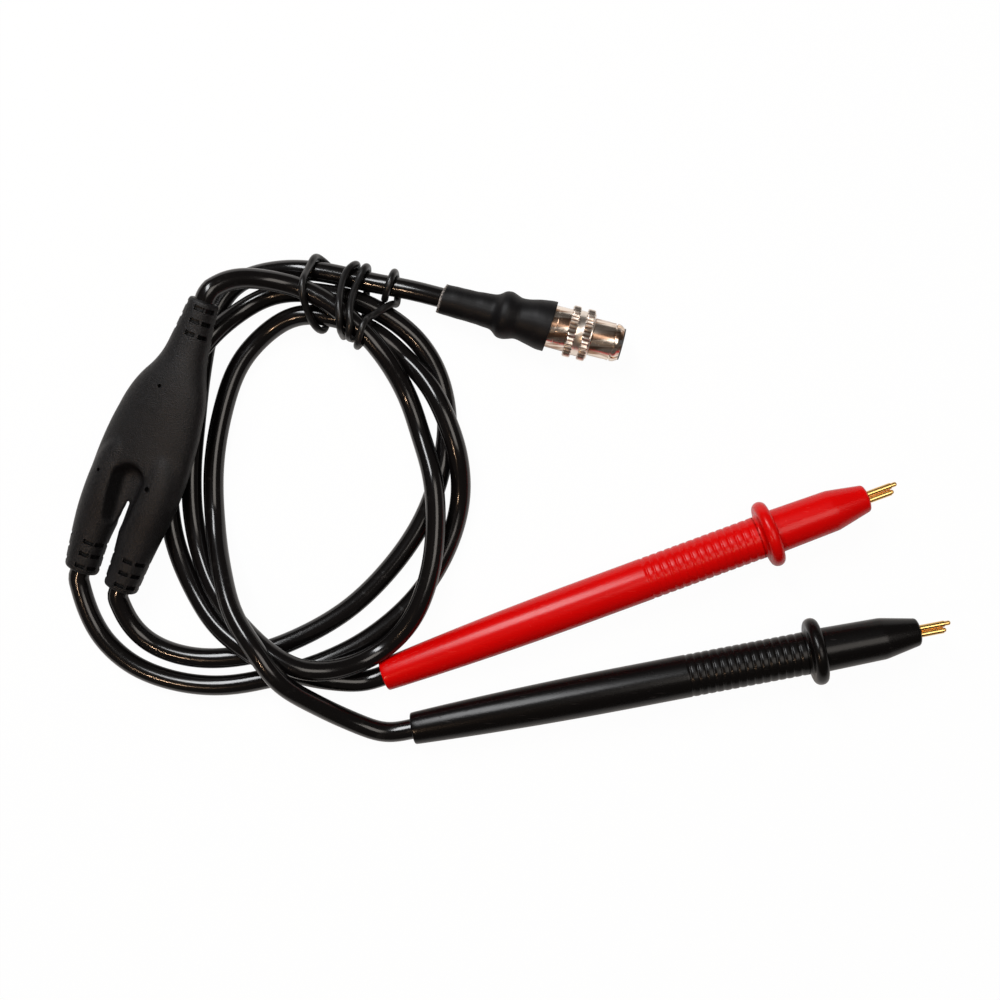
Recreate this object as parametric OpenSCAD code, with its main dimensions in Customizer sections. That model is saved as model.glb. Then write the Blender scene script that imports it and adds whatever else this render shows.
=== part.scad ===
// Four-wire test-lead set: two pen probes with twin spring pins, a moulded Y-splitter,
// one main cable and a push-pull circular plug, bundled with a coated tie wire.
// Millimetres, +Z up. The set lies on the plane z = 0.

/* [Pens] */
// Diameter of the handle at its rear face
rear_d = 8.5; // [7.8:0.1:9.2]
// Diameter of the handle at the grip
grip_d = 11.3; // [10.8:0.1:12.4]
// Length of the swelling stretch behind the grip
swell_length = 58; // [45:1:70]
// Distance from the rear face to the first grip rib
grip_start = 75; // [72:0.5:80]
// Number of ribs round the grip
rib_count = 15; // [8:1:17]
// Distance from rib to rib
rib_pitch = 2.07; // [1.9:0.01:2.2]
// Depth of the grooves between the ribs
rib_depth = 0.35; // [0.2:0.05:0.5]
// Diameter of the finger guard
guard_d = 17.8; // [16:0.1:20]
// Thickness of the finger guard
guard_t = 2.6; // [2:0.1:3.2]
// Distance from the rear face to the middle of the guard
guard_x = 108.9; // [107.5:0.1:114]
// Length of the nose in front of the guard
nose_length = 26.2; // [24:0.1:32]
// Diameter of the nose at the guard
nose_d = 11.6; // [11.2:0.1:12.6]
// Diameter of the nose where its cone starts
nose_mid_d = 11; // [10.6:0.1:11.2]
// Length of the cone and round end of the nose
nose_taper = 9.9; // [8:0.1:12]
// Diameter of the nose where its cone ends
nose_tip_d = 7.3; // [6.9:0.1:7.8]
// Diameter of the flat face at the end of the nose
nose_face_d = 4.9; // [4.5:0.1:5.5]
// Length of the spigot that holds the nose in the handle
spigot_length = 11; // [8:0.5:14]
// Diameter of the spigot
spigot_d = 8.8; // [8.4:0.1:9.2]
// Bore of the handle behind the spigot
handle_bore = 7.4; // [6.8:0.1:7.8]
// Turn of the red pen on the table
red_turn = 20.4; // [16:0.2:24]
// Turn of the black pen on the table
black_turn = 11.2; // [8:0.2:14]

/* [Spring pins] */
// Outer diameter of a pin barrel
barrel_d = 1.5; // [1.3:0.02:1.54]
// Bore of a pin barrel
barrel_bore = 1.26; // [1.24:0.01:1.28]
// Diameter of a plunger
plunger_d = 1.2; // [1.1:0.01:1.22]
// Wall of the insulating block between the two barrels
pin_wall = 0.14; // [0.1:0.02:0.3]
// Distance from the nose to the end of the longer barrel
barrel_out = 6.6; // [4:0.1:8]
// Length of a barrel
barrel_length = 30; // [28:0.5:33]
// Set-back of the lower pin
pin_setback = 0.5; // [0:0.1:1]
// Length of the upper plunger that stands out of its barrel
upper_out = 1.6; // [1.4:0.1:1.9]
// Length of the lower plunger that stands out of its barrel
lower_out = 0.7; // [0.7:0.05:1]

/* [Leads] */
// Diameter of the jacketed leads
lead_d = 5.2; // [4.8:0.1:5.3]
// Diameter of one insulated core
core_d = 1.1; // [0.9:0.1:1.3]
// Length of lead held inside a pen
lead_grip = 16; // [14:0.5:20]
// Length of the clamp ring on a lead
clamp_length = 5; // [3:0.5:6]

/* [Splitter] */
// Length from the crotch to the stem end
stem_length = 55.3; // [52:0.1:58]
// Length from the crotch to the leg ends
leg_length = 24; // [21:0.5:26]
// Half width of the body at its widest
body_half_w = 13.1; // [12:0.1:14]
// Thickness of the body
body_t = 10.6; // [10:0.1:11]
// Width of the stem end
stem_w = 7.8; // [7.4:0.1:8.4]
// Width of each leg end
leg_w = 9.1; // [8.4:0.1:9.6]
// Thickness of each leg end
leg_t = 8.6; // [8.2:0.1:8.8]
// Width of a strain-relief slot
slot_w = 1.2; // [0.8:0.1:1.4]
// Distance from slot to slot
slot_pitch = 3.4; // [3:0.1:3.8]

/* [Plug] */
// Diameter of the latch barrel
plug_barrel_d = 10; // [9.6:0.1:10.2]
// Diameter of the smooth rear body
plug_body_d = 11.4; // [11.2:0.1:11.8]
// Diameter over the knurled rings
knurl_d = 13.8; // [13.4:0.1:14.4]
// Width of one knurled ring
knurl_w = 2.1; // [1.6:0.1:2.2]
// Width of the groove between the rings
knurl_gap = 1.8; // [1.4:0.1:2.2]
// Number of grooves in the knurl
knurl_count = 36; // [24:2:40]
// Length of the barrel in front of the sleeve
barrel_reach = 9; // [8:0.5:11]
// Travel of the release sleeve
release_travel = 2; // [1:0.1:2]
// Diameter of one contact
contact_d = 1.4; // [1.2:0.1:1.5]
// Diameter of the circle of contacts
contact_circle = 3.8; // [3.6:0.1:4]
// Wall of the rubber boot
boot_wall = 0.75; // [0.6:0.05:1]

/* [Tie] */
// Diameter of the coated tie wire
tie_d = 1.9; // [1.6:0.1:2]

/* [Hidden] */
$fn = 64;

fit = 0.05;         // gap of a push fit, per side
free = 0.2;         // gap round a cable, per side
edge = 0.5;         // rounding of moulded edges
cord_sides = 8;

// Pen sizes that follow from the others
guard_front = guard_x + guard_t / 2;
nose_end = guard_front + nose_length;
nose_round = 1.2;
spigot_rear = guard_front - spigot_length;
spigot_gap = 0.2;
pin_pitch = barrel_d + pin_wall;
pin_bore = barrel_d + 0.02;
barrel_front = nose_end + barrel_out;
barrel_rear = barrel_front - barrel_length;
block_d = 2 * pin_pitch + barrel_d + 0.8;
block_end = nose_end - 3.5;
block_length = 15;
plunger_length = 10;
spring_d = barrel_bore - 0.2;
spring_wire = 0.16;
barrel_floor = 1.5;
nose_hole_d = pin_pitch + barrel_d + 0.24;
rear_wall = 9;
pen_tilt = asin((guard_d - rear_d) / 2 / guard_x);

// Where the pens lie: the middle of each rear face
red_rear = [-73.9, -16.5, rear_d / 2 + 0.02];
black_rear = [-66.2, -30.7, rear_d / 2 + 0.02];

// Plug sizes that follow from the others, measured from the rear of the boot
nut_rear = 16.8;
nut_front = 27;
nut_thread = 4;
boot_end = 29.8;
body_front = 36.4;
sleeve_rear = 34.6;
web_rear = body_front + release_travel + 0.4;
sleeve_front = sleeve_rear + 2 * knurl_w + knurl_gap + 0.4;
barrel_seat = 34.2;
guide_d = 9.4;      // the barrel behind its shoulder, where the sleeve slides
shoulder = sleeve_front + 0.1;
plug_end = sleeve_front + barrel_reach;
insulator_rear = 33.5;
contact_rear = 32.5;
cable_end = 28;
plug_rear = [-58.4, 83.9, knurl_d / 2];
plug_turn = -14.5;
spring_wall = 0.45;

// How the splitter lies: its crotch, and its roll, pitch and turn
splitter_at = [-139.8, 31.2, 9.7];
splitter_turn = [-10, -9.5, 67.4];
leg_v = [6.3, -5.9];
stem_v = -0.2;
slot_span = 2.4;    // length of a pocket round the cable
slot_floor = 0.75;  // rubber left round the cable under a pocket
arch_r = 3.6;       // radius of the arch over the web
web_depth = 2.4;    // depth of the web below each face

function unit(v) = v / norm(v);
function about_x(p, a) = [p.x, p.y * cos(a) - p.z * sin(a), p.y * sin(a) + p.z * cos(a)];
function about_y(p, a) = [p.x * cos(a) + p.z * sin(a), p.y, -p.x * sin(a) + p.z * cos(a)];
function about_z(p, a) = [p.x * cos(a) - p.y * sin(a), p.x * sin(a) + p.y * cos(a), p.z];
function turned(p, a) = about_z(about_y(about_x(p, a[0]), a[1]), a[2]);
function on_splitter(p) = splitter_at + turned(p, splitter_turn);
function on_pen(rear, turn, s) = rear + turned([s, 0, 0], [0, -pen_tilt, turn]);
function on_plug(s) = plug_rear + turned([s, 0, 0], [0, 0, plug_turn]);

// Routes of the three cables, as points along their centre lines
black_route = concat(
    [on_splitter([-leg_length, leg_v[0], 0]), on_splitter([-leg_length - 2, leg_v[0], 0])],
    [
        [-154.9, 6.2, 3.6], [-152.9, -0.3, 2.9], [-149.8, -6.2, 2.6], [-142, -13.5, 2.6], [-131, -18, 2.6],
        [-118, -19.5, 2.6], [-105, -17.5, 2.6], [-90, -13, 2.6], [-77.5, -6.5, 2.6],
        [-65.5, 4, 2.6], [-57.5, 16.5, 2.6], [-53.5, 30, 3.2], [-54, 42, 7],
        [-57, 51.5, 8.2], [-61.3, 60.2, 7.4], [-67.8, 67.7, 4], [-77.1, 75.5, 5.6],
        [-89.5, 79.4, 5.6], [-97, 79.5, 5.5], [-105.2, 75.3, 3], [-112.8, 66.7, 2.6],
        [-117.5, 53, 2.6], [-119.7, 38, 2.6], [-119, 24, 3.8], [-116.2, 12, 10],
        [-112, 0.5, 16], [-106, -8, 18.6], [-100, -16.6, 17.4], [-91, -23.5, 10.6],
        [-82, -28.7, 5.6]
    ],
    [on_pen(black_rear, black_turn, -7), on_pen(black_rear, black_turn, 0),
        on_pen(black_rear, black_turn, lead_grip)]
);
red_route = concat(
    [on_splitter([-leg_length, leg_v[1], 0]), on_splitter([-leg_length - 2, leg_v[1], 0])],
    [
        [-143.9, 2.4, 5.6], [-142.5, -1.4, 4.4], [-139.6, -5.6, 3.2], [-135, -9, 2.6], [-124.5, -12, 2.6], [-110, -11.2, 2.6],
        [-96.5, -6.5, 2.6], [-83, 1.5, 2.6], [-71.5, 13, 2.6], [-63.5, 25, 2.6],
        [-58.8, 38, 2.6], [-57, 52, 2.6], [-59.5, 64, 2.6], [-64.5, 72.5, 3],
        [-71.2, 78.3, 4.2], [-81, 83.4, 5.6], [-89, 85, 5.6], [-97, 85.8, 5.6],
        [-105, 84.8, 3.8], [-112, 80.8, 4.4], [-119.5, 73.5, 8], [-125, 65.8, 8],
        [-129.3, 57, 5], [-131.8, 46, 2.6], [-131.9, 32, 2.6], [-129.9, 18.5, 2.6],
        [-125, 7, 3.6], [-118.2, -3, 6], [-110, -9.3, 8], [-102, -13.7, 8],
        [-93.5, -16.4, 8], [-84.5, -18, 5.6]
    ],
    [on_pen(red_rear, red_turn, -5), on_pen(red_rear, red_turn, 0),
        on_pen(red_rear, red_turn, lead_grip)]
);
main_route = concat(
    [on_splitter([stem_length, stem_v, 0]), on_splitter([stem_length + 1.4, stem_v, 0])],
    [
        [-116.8, 84.6, 18.9], [-114.7, 86.3, 18.1], [-111.8, 87.5, 16.6], [-108, 88, 14.8],
        [-103.5, 87.7, 12.7],
        [-98.5, 86.9, 11.4], [-95, 85.9, 11.2], [-88, 82.3, 11.2], [-80.5, 76.3, 11.2], [-73.5, 68.5, 9.4], [-67.5, 58, 5.4],
        [-64, 47.5, 5], [-60.6, 36, 8], [-59.9, 23, 8.1], [-61.5, 10.5, 8.1],
        [-66, -1, 7.6], [-72.5, -8.3, 6], [-79, -12.3, 7.2], [-87, -14.4, 11.2],
        [-95, -14, 13.4], [-103, -9.8, 13.1], [-110.5, -3.2, 11.3], [-117, 4, 8],
        [-121.5, 12, 4.4], [-124.9, 24, 2.6], [-125.6, 38, 2.6], [-124.4, 52, 2.6],
        [-122.8, 66, 2.6], [-119.8, 79.5, 2.6], [-113.5, 88.5, 2.6], [-105, 91.3, 3.4],
        [-96.5, 91.6, 5.6], [-88, 90.6, 5.6], [-78.5, 88.4, 5.6]
    ],
    [on_plug(-8), on_plug(0), on_plug(cable_end)]
);

// Route of the tie wire: one turn round the plug's cable, then three round the bundle
tie_route = [
    [-73.6, 84, 4.6], [-73.5, 83.6, 6.6], [-73, 84.6, 8.8], [-72.2, 86.8, 10.1],
    [-71.3, 89.4, 9.4], [-70.8, 90.8, 6.8], [-70.7, 90, 3.9], [-70.5, 87.4, 2.5],
    [-70.4, 84.6, 2.2], [-70.6, 82.8, 3], [-71, 82.5, 5], [-71.6, 82.2, 7],
    [-73, 81.2, 8.6], [-75.2, 79.6, 9.6], [-76.9, 78.3, 11.4], [-77.9, 77, 14.1],
    [-78.8, 75.1, 14.9], [-79.3, 73.2, 14.5], [-80, 71.3, 13.3], [-80.4, 70.6, 10.6],
    [-80.2, 71.3, 8], [-79.7, 72.2, 5.6], [-79.6, 73.1, 3.2], [-79.5, 75, 2.1],
    [-79.4, 77.5, 1.9], [-79, 82.3, 1.7], [-78.6, 88.6, 1.9], [-78.3, 91.5, 2.6],
    [-78.2, 92.3, 5.6], [-78.7, 91.5, 8.5], [-80, 88.5, 9.8], [-81.2, 85, 11.5],
    [-81.8, 81.1, 13.9], [-81.9, 78.4, 15.1], [-81.8, 75.7, 14.9], [-82.4, 73.3, 13.4],
    [-82.4, 72.8, 10.8], [-82.1, 73, 7.5], [-82.1, 73.2, 5], [-82.3, 74.3, 2.6],
    [-82.7, 77, 1.9], [-82.2, 83.6, 1.9], [-81.6, 89, 1.9], [-81.2, 92, 2.9],
    [-81, 93, 5.6], [-82, 92.1, 8.4], [-83.4, 90.2, 9.8], [-84.2, 87.5, 11.2],
    [-84.6, 84.4, 12.9], [-84.7, 81.6, 14.6], [-84.7, 79.4, 15.1], [-84.6, 76.8, 14.6],
    [-84.6, 75, 13], [-84.5, 74, 9], [-84.5, 73.8, 6.6], [-84.6, 73.9, 4.4],
    [-84.8, 75, 2.3], [-85.2, 77.6, 1.9], [-85.6, 84.2, 1.9], [-87, 90.2, 1.9],
    [-88.7, 92.9, 2.4], [-90.6, 94.5, 4], [-91.6, 94.9, 5.8], [-92.2, 94, 8.2],
    [-92.8, 92.1, 9.9], [-93.6, 89.5, 12.6], [-94, 87.8, 14.5], [-94.2, 86.4, 15],
    [-94.3, 84.8, 15], [-94.2, 83.3, 14.6], [-93.9, 82, 13.4], [-93.3, 79.9, 11.7],
    [-92.4, 77.3, 9.1], [-91.2, 75.7, 6.9], [-90.2, 75.5, 4.6], [-89.6, 76.7, 2.6],
    [-89.2, 79.5, 1.9], [-88.9, 84.5, 1.9], [-89, 87, 1.9]
];

red = "#c8181c";
ink = "#1c1c1e";
jacket = "#141416";
brass = "#c9a24a";
nickel = "#b9b4ac";

// A ring of points round each point of a route, square to the route there
function heading(route, i) = let (last = len(route) - 1)
    unit(route[min(i + 1, last)] - route[max(i - 1, 0)]);
function ring(at, way, d) = let (
    side = unit(cross([0, 0, 1], way)),
    up = cross(way, side)
) [for (k = [0 : cord_sides - 1]) let (a = (k + 0.5) * 360 / cord_sides)
    at + d / 2 * (cos(a) * side + sin(a) * up)];

module cord(route, d) {
    skin([for (i = [0 : len(route) - 1]) ring(route[i], heading(route, i), d)]);
}

// Length of a route, and the least distance between two stretches of it
function route_length(route) = len(route) < 2 ? 0
    : [for (i = 0, s = 0; i < len(route); s = s + (i + 1 < len(route)
        ? norm(route[i + 1] - route[i]) : 0), i = i + 1) s][len(route) - 1];
function least_gap(route, d, skip) = min([
    for (i = [0 : len(route) - 1], j = [0 : len(route) - 1])
        if (j - i > skip) norm(route[j] - route[i])
]) - d;
echo("black lead length", route_length(black_route));
echo("red lead length", route_length(red_route));
echo("main cable length", route_length(main_route));
echo("tie wire least gap to itself", least_gap(tie_route, tie_d, 3));

// A solid of revolution along X, from points that hold a radius and a distance along the axis
module turning(profile) {
    rotate([0, 90, 0]) rotate_extrude() polygon(profile);
}

module rod(d, from, to) {
    translate([from, 0, 0]) rotate([0, 90, 0]) cylinder(d = d, h = to - from);
}

module at_red() {
    translate(red_rear) rotate([0, -pen_tilt, red_turn]) children();
}

module at_black() {
    translate(black_rear) rotate([0, -pen_tilt, black_turn]) children();
}

module at_plug() {
    translate(plug_rear) rotate([0, 0, plug_turn]) children();
}

module at_splitter() {
    translate(splitter_at) rotate(splitter_turn) children();
}

// Radius of the swelling handle at a distance from its rear face
function swell_r(x) = let (rest = max(0, 1 - x / swell_length))
    grip_d / 2 - (grip_d - rear_d) / 2 * rest * rest;

module handle(shade) {
    guard_r = guard_d / 2;
    guard_rear = guard_x - guard_t / 2;
    swell = [for (k = [1 : 7]) let (x = k * swell_length / 7) [swell_r(x), x]];
    ribs = [for (k = [0 : rib_count - 1]) let (x = grip_start + k * rib_pitch) each [
        [grip_d / 2, x - 0.3 * rib_pitch], [grip_d / 2 - rib_depth, x - 0.15 * rib_pitch],
        [grip_d / 2 - rib_depth, x + 0.15 * rib_pitch], [grip_d / 2, x + 0.3 * rib_pitch]
    ]];
    rim = [for (a = [-90 : 22.5 : 90])
        [guard_r - guard_t / 2 * (1 - cos(a)), guard_x + guard_t / 2 * sin(a)]];
    color(shade) difference() {
        turning(concat(
            [[0, 0], [rear_d / 2 - edge, 0], [rear_d / 2 - 0.15, 0.15], [rear_d / 2, edge]],
            swell, ribs,
            [[grip_d / 2, guard_rear - 0.8], [grip_d / 2 + 0.8, guard_rear]], rim,
            [[0, guard_front]]
        ));
        rod(lead_d + 2 * free, -1, rear_wall + 1);
        rod(handle_bore, rear_wall, guard_front + 1);
        rod(spigot_d + 2 * fit, spigot_rear - spigot_gap, guard_front + 1);
    }
}

module nose(shade) {
    cone_start = nose_end - nose_taper;
    cone_end = nose_end - nose_round;
    tip_r = nose_tip_d / 2;
    face_r = nose_face_d / 2;
    round_end = [for (a = [0 : 18 : 90])
        [face_r + (tip_r - face_r) * cos(a), cone_end + nose_round * sin(a)]];
    color(shade) difference() {
        turning(concat(
            [[0, spigot_rear], [spigot_d / 2 - 0.4, spigot_rear],
                [spigot_d / 2, spigot_rear + 0.4], [spigot_d / 2, guard_front],
                [nose_d / 2 - 0.3, guard_front], [nose_d / 2, guard_front + 0.3],
                [nose_mid_d / 2 + 0.05, cone_start - 0.5], [nose_mid_d / 2 - 0.1, cone_start + 0.5]],
            round_end, [[0, nose_end]]
        ));
        rod(block_d + 2 * fit, spigot_rear - 1, block_end);
        rod(nose_hole_d, block_end - 1, nose_end + 1);
    }
}

// The insulating block that carries the two barrels, one above the other in the block's plane
module pin_block() {
    color("#d8d2c4") difference() {
        union() {
            rod(block_d, block_end - block_length, block_end);
            rod(nose_hole_d - 0.04, block_end, nose_end - 0.6);
        }
        for (side = [-1, 1]) translate([0, side * pin_pitch / 2, 0])
            rod(pin_bore, block_end - block_length - 1, nose_end);
    }
}

function pin_front(side) = barrel_front - (side < 0 ? pin_setback : 0);
function pin_tip(side) = pin_front(side) + (side < 0 ? lower_out : upper_out);

module barrels() {
    for (side = [-1, 1]) translate([0, side * pin_pitch / 2, 0]) color(brass) difference() {
        rod(barrel_d, barrel_rear, pin_front(side));
        rod(barrel_bore, barrel_rear + barrel_floor, pin_front(side) + 1);
    }
}

module plunger(side) {
    tip = pin_tip(side);
    r = plunger_d / 2;
    color(brass) translate([0, side * pin_pitch / 2, 0]) turning(concat(
        [[0, tip - plunger_length], [r, tip - plunger_length]],
        [for (a = [0 : 22.5 : 67.5]) [r * cos(a), tip - r + r * sin(a)]],
        [[0, tip]]
    ));
}

module pin_spring(side) {
    color("silver") translate([0, side * pin_pitch / 2, 0]) difference() {
        rod(spring_d, barrel_rear + barrel_floor, pin_tip(side) - plunger_length);
        rod(spring_d - 2 * spring_wire, barrel_rear + 1, pin_tip(side));
    }
}

module pen_cores(shade) {
    for (side = [-1, 1]) color(side > 0 ? shade : "white")
        translate([0, side * pin_pitch / 2, 0]) rod(core_d, lead_grip, barrel_rear);
}

module lead_clamp() {
    color("#8c8c90") difference() {
        rod(handle_bore - 2 * fit, rear_wall, rear_wall + clamp_length);
        rod(lead_d + 2 * fit, rear_wall - 1, rear_wall + clamp_length + 1);
    }
}

// Sections of the splitter: distance along it, offset across, half width and half thickness
stem_sections = [
    [-0.5, 0.15, body_half_w - 0.3, body_t / 2 - 0.4], [5, 0.15, body_half_w, body_t / 2 - 0.1],
    [11, 0.1, body_half_w - 0.1, body_t / 2], [17, 0.1, body_half_w - 0.6, body_t / 2],
    [21, 0, body_half_w - 1.1, body_t / 2], [25, 0, body_half_w - 1.8, body_t / 2],
    [29, -0.2, body_half_w - 2.7, body_t / 2 - 0.1], [32.5, -0.4, body_half_w - 4, body_t / 2 - 0.2],
    [36, -0.6, body_half_w - 5.7, body_t / 2 - 0.4], [40, -0.6, 6, 4.6], [45, -0.5, 5.2, 4.3],
    [stem_length - 0.5, stem_v, stem_w / 2, stem_w / 2],
    [stem_length, stem_v, stem_w / 2 - 0.4, stem_w / 2 - 0.4]
];
// Offsets across of each leg's middle, from its end to where it joins the body
leg_middles = [[leg_v[0], 7.1, 7.2, 6.9, 6.2], [leg_v[1], -6, -6, -6.3, -6.2]];
function leg_sections(v) = [
    [-leg_length, v[0], leg_w / 2 - 0.4, leg_t / 2 - 0.4], [0.5 - leg_length, v[0], leg_w / 2, leg_t / 2],
    [-15, v[1], 5.1, leg_t / 2 + 0.1], [-8, v[2], 5.8, leg_t / 2 + 0.3],
    [-2, v[3], 6.2, body_t / 2 - 0.6], [3, v[4], 4.8, body_t / 2 - 1.4]
];

// A rounded outline at a section, as a ring of points
outline_sides = 28;
function bulge(x) = sign(x) * pow(abs(x), 0.6);
function outline(s) = [for (k = [0 : outline_sides - 1]) let (a = (k + 0.5) * 360 / outline_sides)
    [s[0], s[1] + s[2] * bulge(cos(a)), s[3] * bulge(sin(a))]];

// A closed skin over rings that all have the same number of points
module skin(rings) {
    n = len(rings[0]);
    last = len(rings) - 1;
    walls = [for (i = [0 : last - 1], k = [0 : n - 1]) let (
        a = i * n + k,
        b = i * n + (k + 1) % n
    ) each [[b + n, b, a], [a + n, b + n, a]]];
    ends = [for (k = [1 : n - 2]) each [[k, k + 1, 0], [last * n + k + 1, last * n + k, last * n]]];
    polyhedron([for (r = rings) each r], concat(walls, ends));
}

// Rows of short pockets round an end, cut down to a sleeve that stays round the cable
module relief_slots(end, v, way) {
    for (k = [0 : 2], a = [30 : 60 : 330]) translate([end - way * (2 + k * slot_pitch), v, 0])
        rotate([a, 0, 0]) translate([-slot_w / 2, -slot_span / 2, lead_d / 2 + slot_floor])
            cube([slot_w, slot_span, 6]);
}

// The hollow over the web between the legs, as a rounded arch cut into one face
module web_recess() {
    translate([0, 0, body_t / 2 - web_depth]) hull() {
        translate([4.6, 0.6, 0]) cylinder(r = arch_r, h = 5, $fn = 32);
        translate([0, 0.5, 0]) cylinder(r = arch_r - 1, h = 5, $fn = 32);
    }
}

module y_splitter() {
    color(jacket) at_splitter() difference() {
        union() {
            skin([for (s = stem_sections) outline(s)]);
            for (v = leg_middles) skin([for (s = leg_sections(v)) outline(s)]);
        }
        relief_slots(stem_length, stem_v, 1);
        for (v = leg_v) relief_slots(-leg_length, v, -1);
        web_recess();
        mirror([0, 0, 1]) web_recess();
        for (pin = [[3.3, -6.4], [4.2, 9], [28, 3.1]])
            translate([pin.x, pin.y, body_t / 2 - 0.6]) cylinder(r = 0.6, h = 2, $fn = 16);
    }
}

module plug_boot() {
    mouth_r = plug_body_d / 2 + 0.15 + boot_wall;
    rim_r = 5.25 + 0.1;
    neck_r = 4.2 + 0.3;
    color("#202022") at_plug() difference() {
        turning([
            [0, 0], [lead_d / 2 + 1.15, 0], [lead_d / 2 + 1.3, 4], [lead_d / 2 + 1.4, 9],
            [lead_d / 2 + 1.85, 14.9], [rim_r + boot_wall, 16.4], [rim_r + boot_wall + 0.15, 18.2],
            [rim_r + boot_wall - 0.2, 19.4], [neck_r + boot_wall, 20.6], [neck_r + boot_wall, 22],
            [mouth_r - 0.5, 26], [mouth_r, 28], [mouth_r, boot_end - 0.2], [mouth_r - 0.2, boot_end],
            [0, boot_end]
        ]);
        turning([
            [0, -1], [lead_d / 2 + 0.15, -1], [lead_d / 2 + 0.15, 15], [rim_r, 16.65],
            [rim_r, 19.2], [neck_r, 20.1], [neck_r, 22], [plug_body_d / 2 + 0.15, 26.6],
            [plug_body_d / 2 + 0.15, boot_end + 1], [0, boot_end + 1]
        ]);
    }
}

module plug_back_nut() {
    color(nickel) at_plug() difference() {
        turning([
            [0, nut_rear], [5.25, nut_rear], [5.25, 18.8], [4.2, 19.8],
            [4.2, 22.2], [plug_body_d / 2 - 0.1, nut_front - 0.2], [plug_body_d / 2 - 0.1, nut_front],
            [4, nut_front], [4, nut_front + nut_thread], [0, nut_front + nut_thread]
        ]);
        rod(lead_d + 2 * free, nut_rear - 1, 20);
        rod(7, 19.6, nut_front + nut_thread + 1);
    }
}

module plug_cable_clamp() {
    color("#8c8c90") at_plug() difference() {
        rod(7 - 2 * fit, 19.7, 26);
        rod(lead_d + 2 * fit, 19, 27);
        translate([23, 0, 3]) cube([8, 0.8, 6], center = true);
    }
}

module plug_body() {
    r = plug_body_d / 2;
    color(nickel) at_plug() difference() {
        turning([
            [0, nut_front], [r - 0.3, nut_front], [r, nut_front + 0.3], [r, body_front - 0.2],
            [r - 0.2, body_front], [0, body_front]
        ]);
        rod(8 + 2 * fit, nut_front - 1, nut_front + nut_thread + 0.2);
        rod(7.2, nut_front, insulator_rear);
        rod(plug_barrel_d - 1.5 + 2 * fit, insulator_rear, body_front);
        rod(guide_d + 0.04, barrel_seat, body_front + 1);
    }
}

// A knurled ring: a round band with grooves cut along it
module knurl_ring(from) {
    r = knurl_d / 2;
    difference() {
        turning([
            [0, from], [r - 0.25, from], [r, from + 0.25], [r, from + knurl_w - 0.25],
            [r - 0.25, from + knurl_w], [0, from + knurl_w]
        ]);
        for (k = [0 : knurl_count - 1]) rotate([k * 360 / knurl_count, 0, 0])
            translate([from + knurl_w / 2, 0, r + 0.1]) rotate([45, 0, 0])
                cube([knurl_w + 1, 0.5, 0.5], center = true);
    }
}

module plug_release_sleeve() {
    groove_r = plug_body_d / 2 + 0.35;
    color(nickel) at_plug() difference() {
        union() {
            knurl_ring(sleeve_rear);
            knurl_ring(sleeve_rear + knurl_w + knurl_gap);
            turning([
                [0, sleeve_rear + 0.3], [groove_r, sleeve_rear + 0.3], [groove_r, sleeve_front - 0.2],
                [groove_r - 0.2, sleeve_front], [0, sleeve_front]
            ]);
        }
        rod(plug_body_d + 0.1, sleeve_rear - 1, web_rear);
        rod(guide_d + 0.06, sleeve_rear - 1, sleeve_front + 1);
    }
}

module plug_sleeve_spring() {
    inner = guide_d / 2 + 0.12;
    color("silver") at_plug() difference() {
        rod(2 * (inner + spring_wall), body_front, web_rear);
        rod(2 * inner, body_front - 1, web_rear + 1);
    }
}

module plug_barrel() {
    r = plug_barrel_d / 2;
    color(nickel) at_plug() difference() {
        turning([
            [0, barrel_seat], [guide_d / 2, barrel_seat], [guide_d / 2, shoulder], [r, shoulder],
            [r, plug_end - 0.6], [r - 0.18, plug_end - 0.18], [r - 0.6, plug_end], [0, plug_end]
        ]);
        rod(plug_barrel_d - 1.5, barrel_seat - 1, plug_end + 1);
        translate([plug_end - 1, 0, r]) cube([4, 1.8, 3], center = true);
        for (side = [-1, 1]) translate([plug_end - 4.4, side * r, 0])
            cube([1.2, 3, 2.4], center = true);
    }
}

module contact_places() {
    for (k = [0 : 3]) rotate([45 + 90 * k, 0, 0]) translate([0, contact_circle / 2, 0]) children();
}

module plug_insulator() {
    color("#2a2a2c") at_plug() difference() {
        rod(plug_barrel_d - 1.5 - 2 * fit, insulator_rear, plug_end - 0.6);
        contact_places() rod(contact_d + 0.04, insulator_rear - 1, plug_end + 1);
    }
}

module plug_contacts() {
    color(brass) at_plug() contact_places() difference() {
        rod(contact_d, contact_rear, plug_end - 0.9);
        rod(contact_d * 0.6, plug_end - 6, plug_end);
    }
}

module plug_cores() {
    shades = ["#c8181c", "#f0f0f0", "#1c1c1e", "#d8b020"];
    at_plug() for (k = [0 : 3]) color(shades[k]) rotate([45 + 90 * k, 0, 0])
        translate([0, contact_circle / 2, 0]) rod(core_d, cable_end, contact_rear);
}

at_red() handle(red);  // red_handle
at_red() nose(red);  // red_nose
at_red() pin_block();  // red_pin_block
at_red() barrels();  // red_barrels
at_red() plunger(1);  // red_upper_plunger
at_red() plunger(-1);  // red_lower_plunger
at_red() pin_spring(1);  // red_upper_spring
at_red() pin_spring(-1);  // red_lower_spring
at_red() pen_cores(red);  // red_cores
at_red() lead_clamp();  // red_lead_clamp
at_black() handle(ink);  // black_handle
at_black() nose(ink);  // black_nose
at_black() pin_block();  // black_pin_block
at_black() barrels();  // black_barrels
at_black() plunger(1);  // black_upper_plunger
at_black() plunger(-1);  // black_lower_plunger
at_black() pin_spring(1);  // black_upper_spring
at_black() pin_spring(-1);  // black_lower_spring
at_black() pen_cores(ink);  // black_cores
at_black() lead_clamp();  // black_lead_clamp
color(jacket) cord(red_route, lead_d);  // red_lead
color(jacket) cord(black_route, lead_d);  // black_lead
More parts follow.
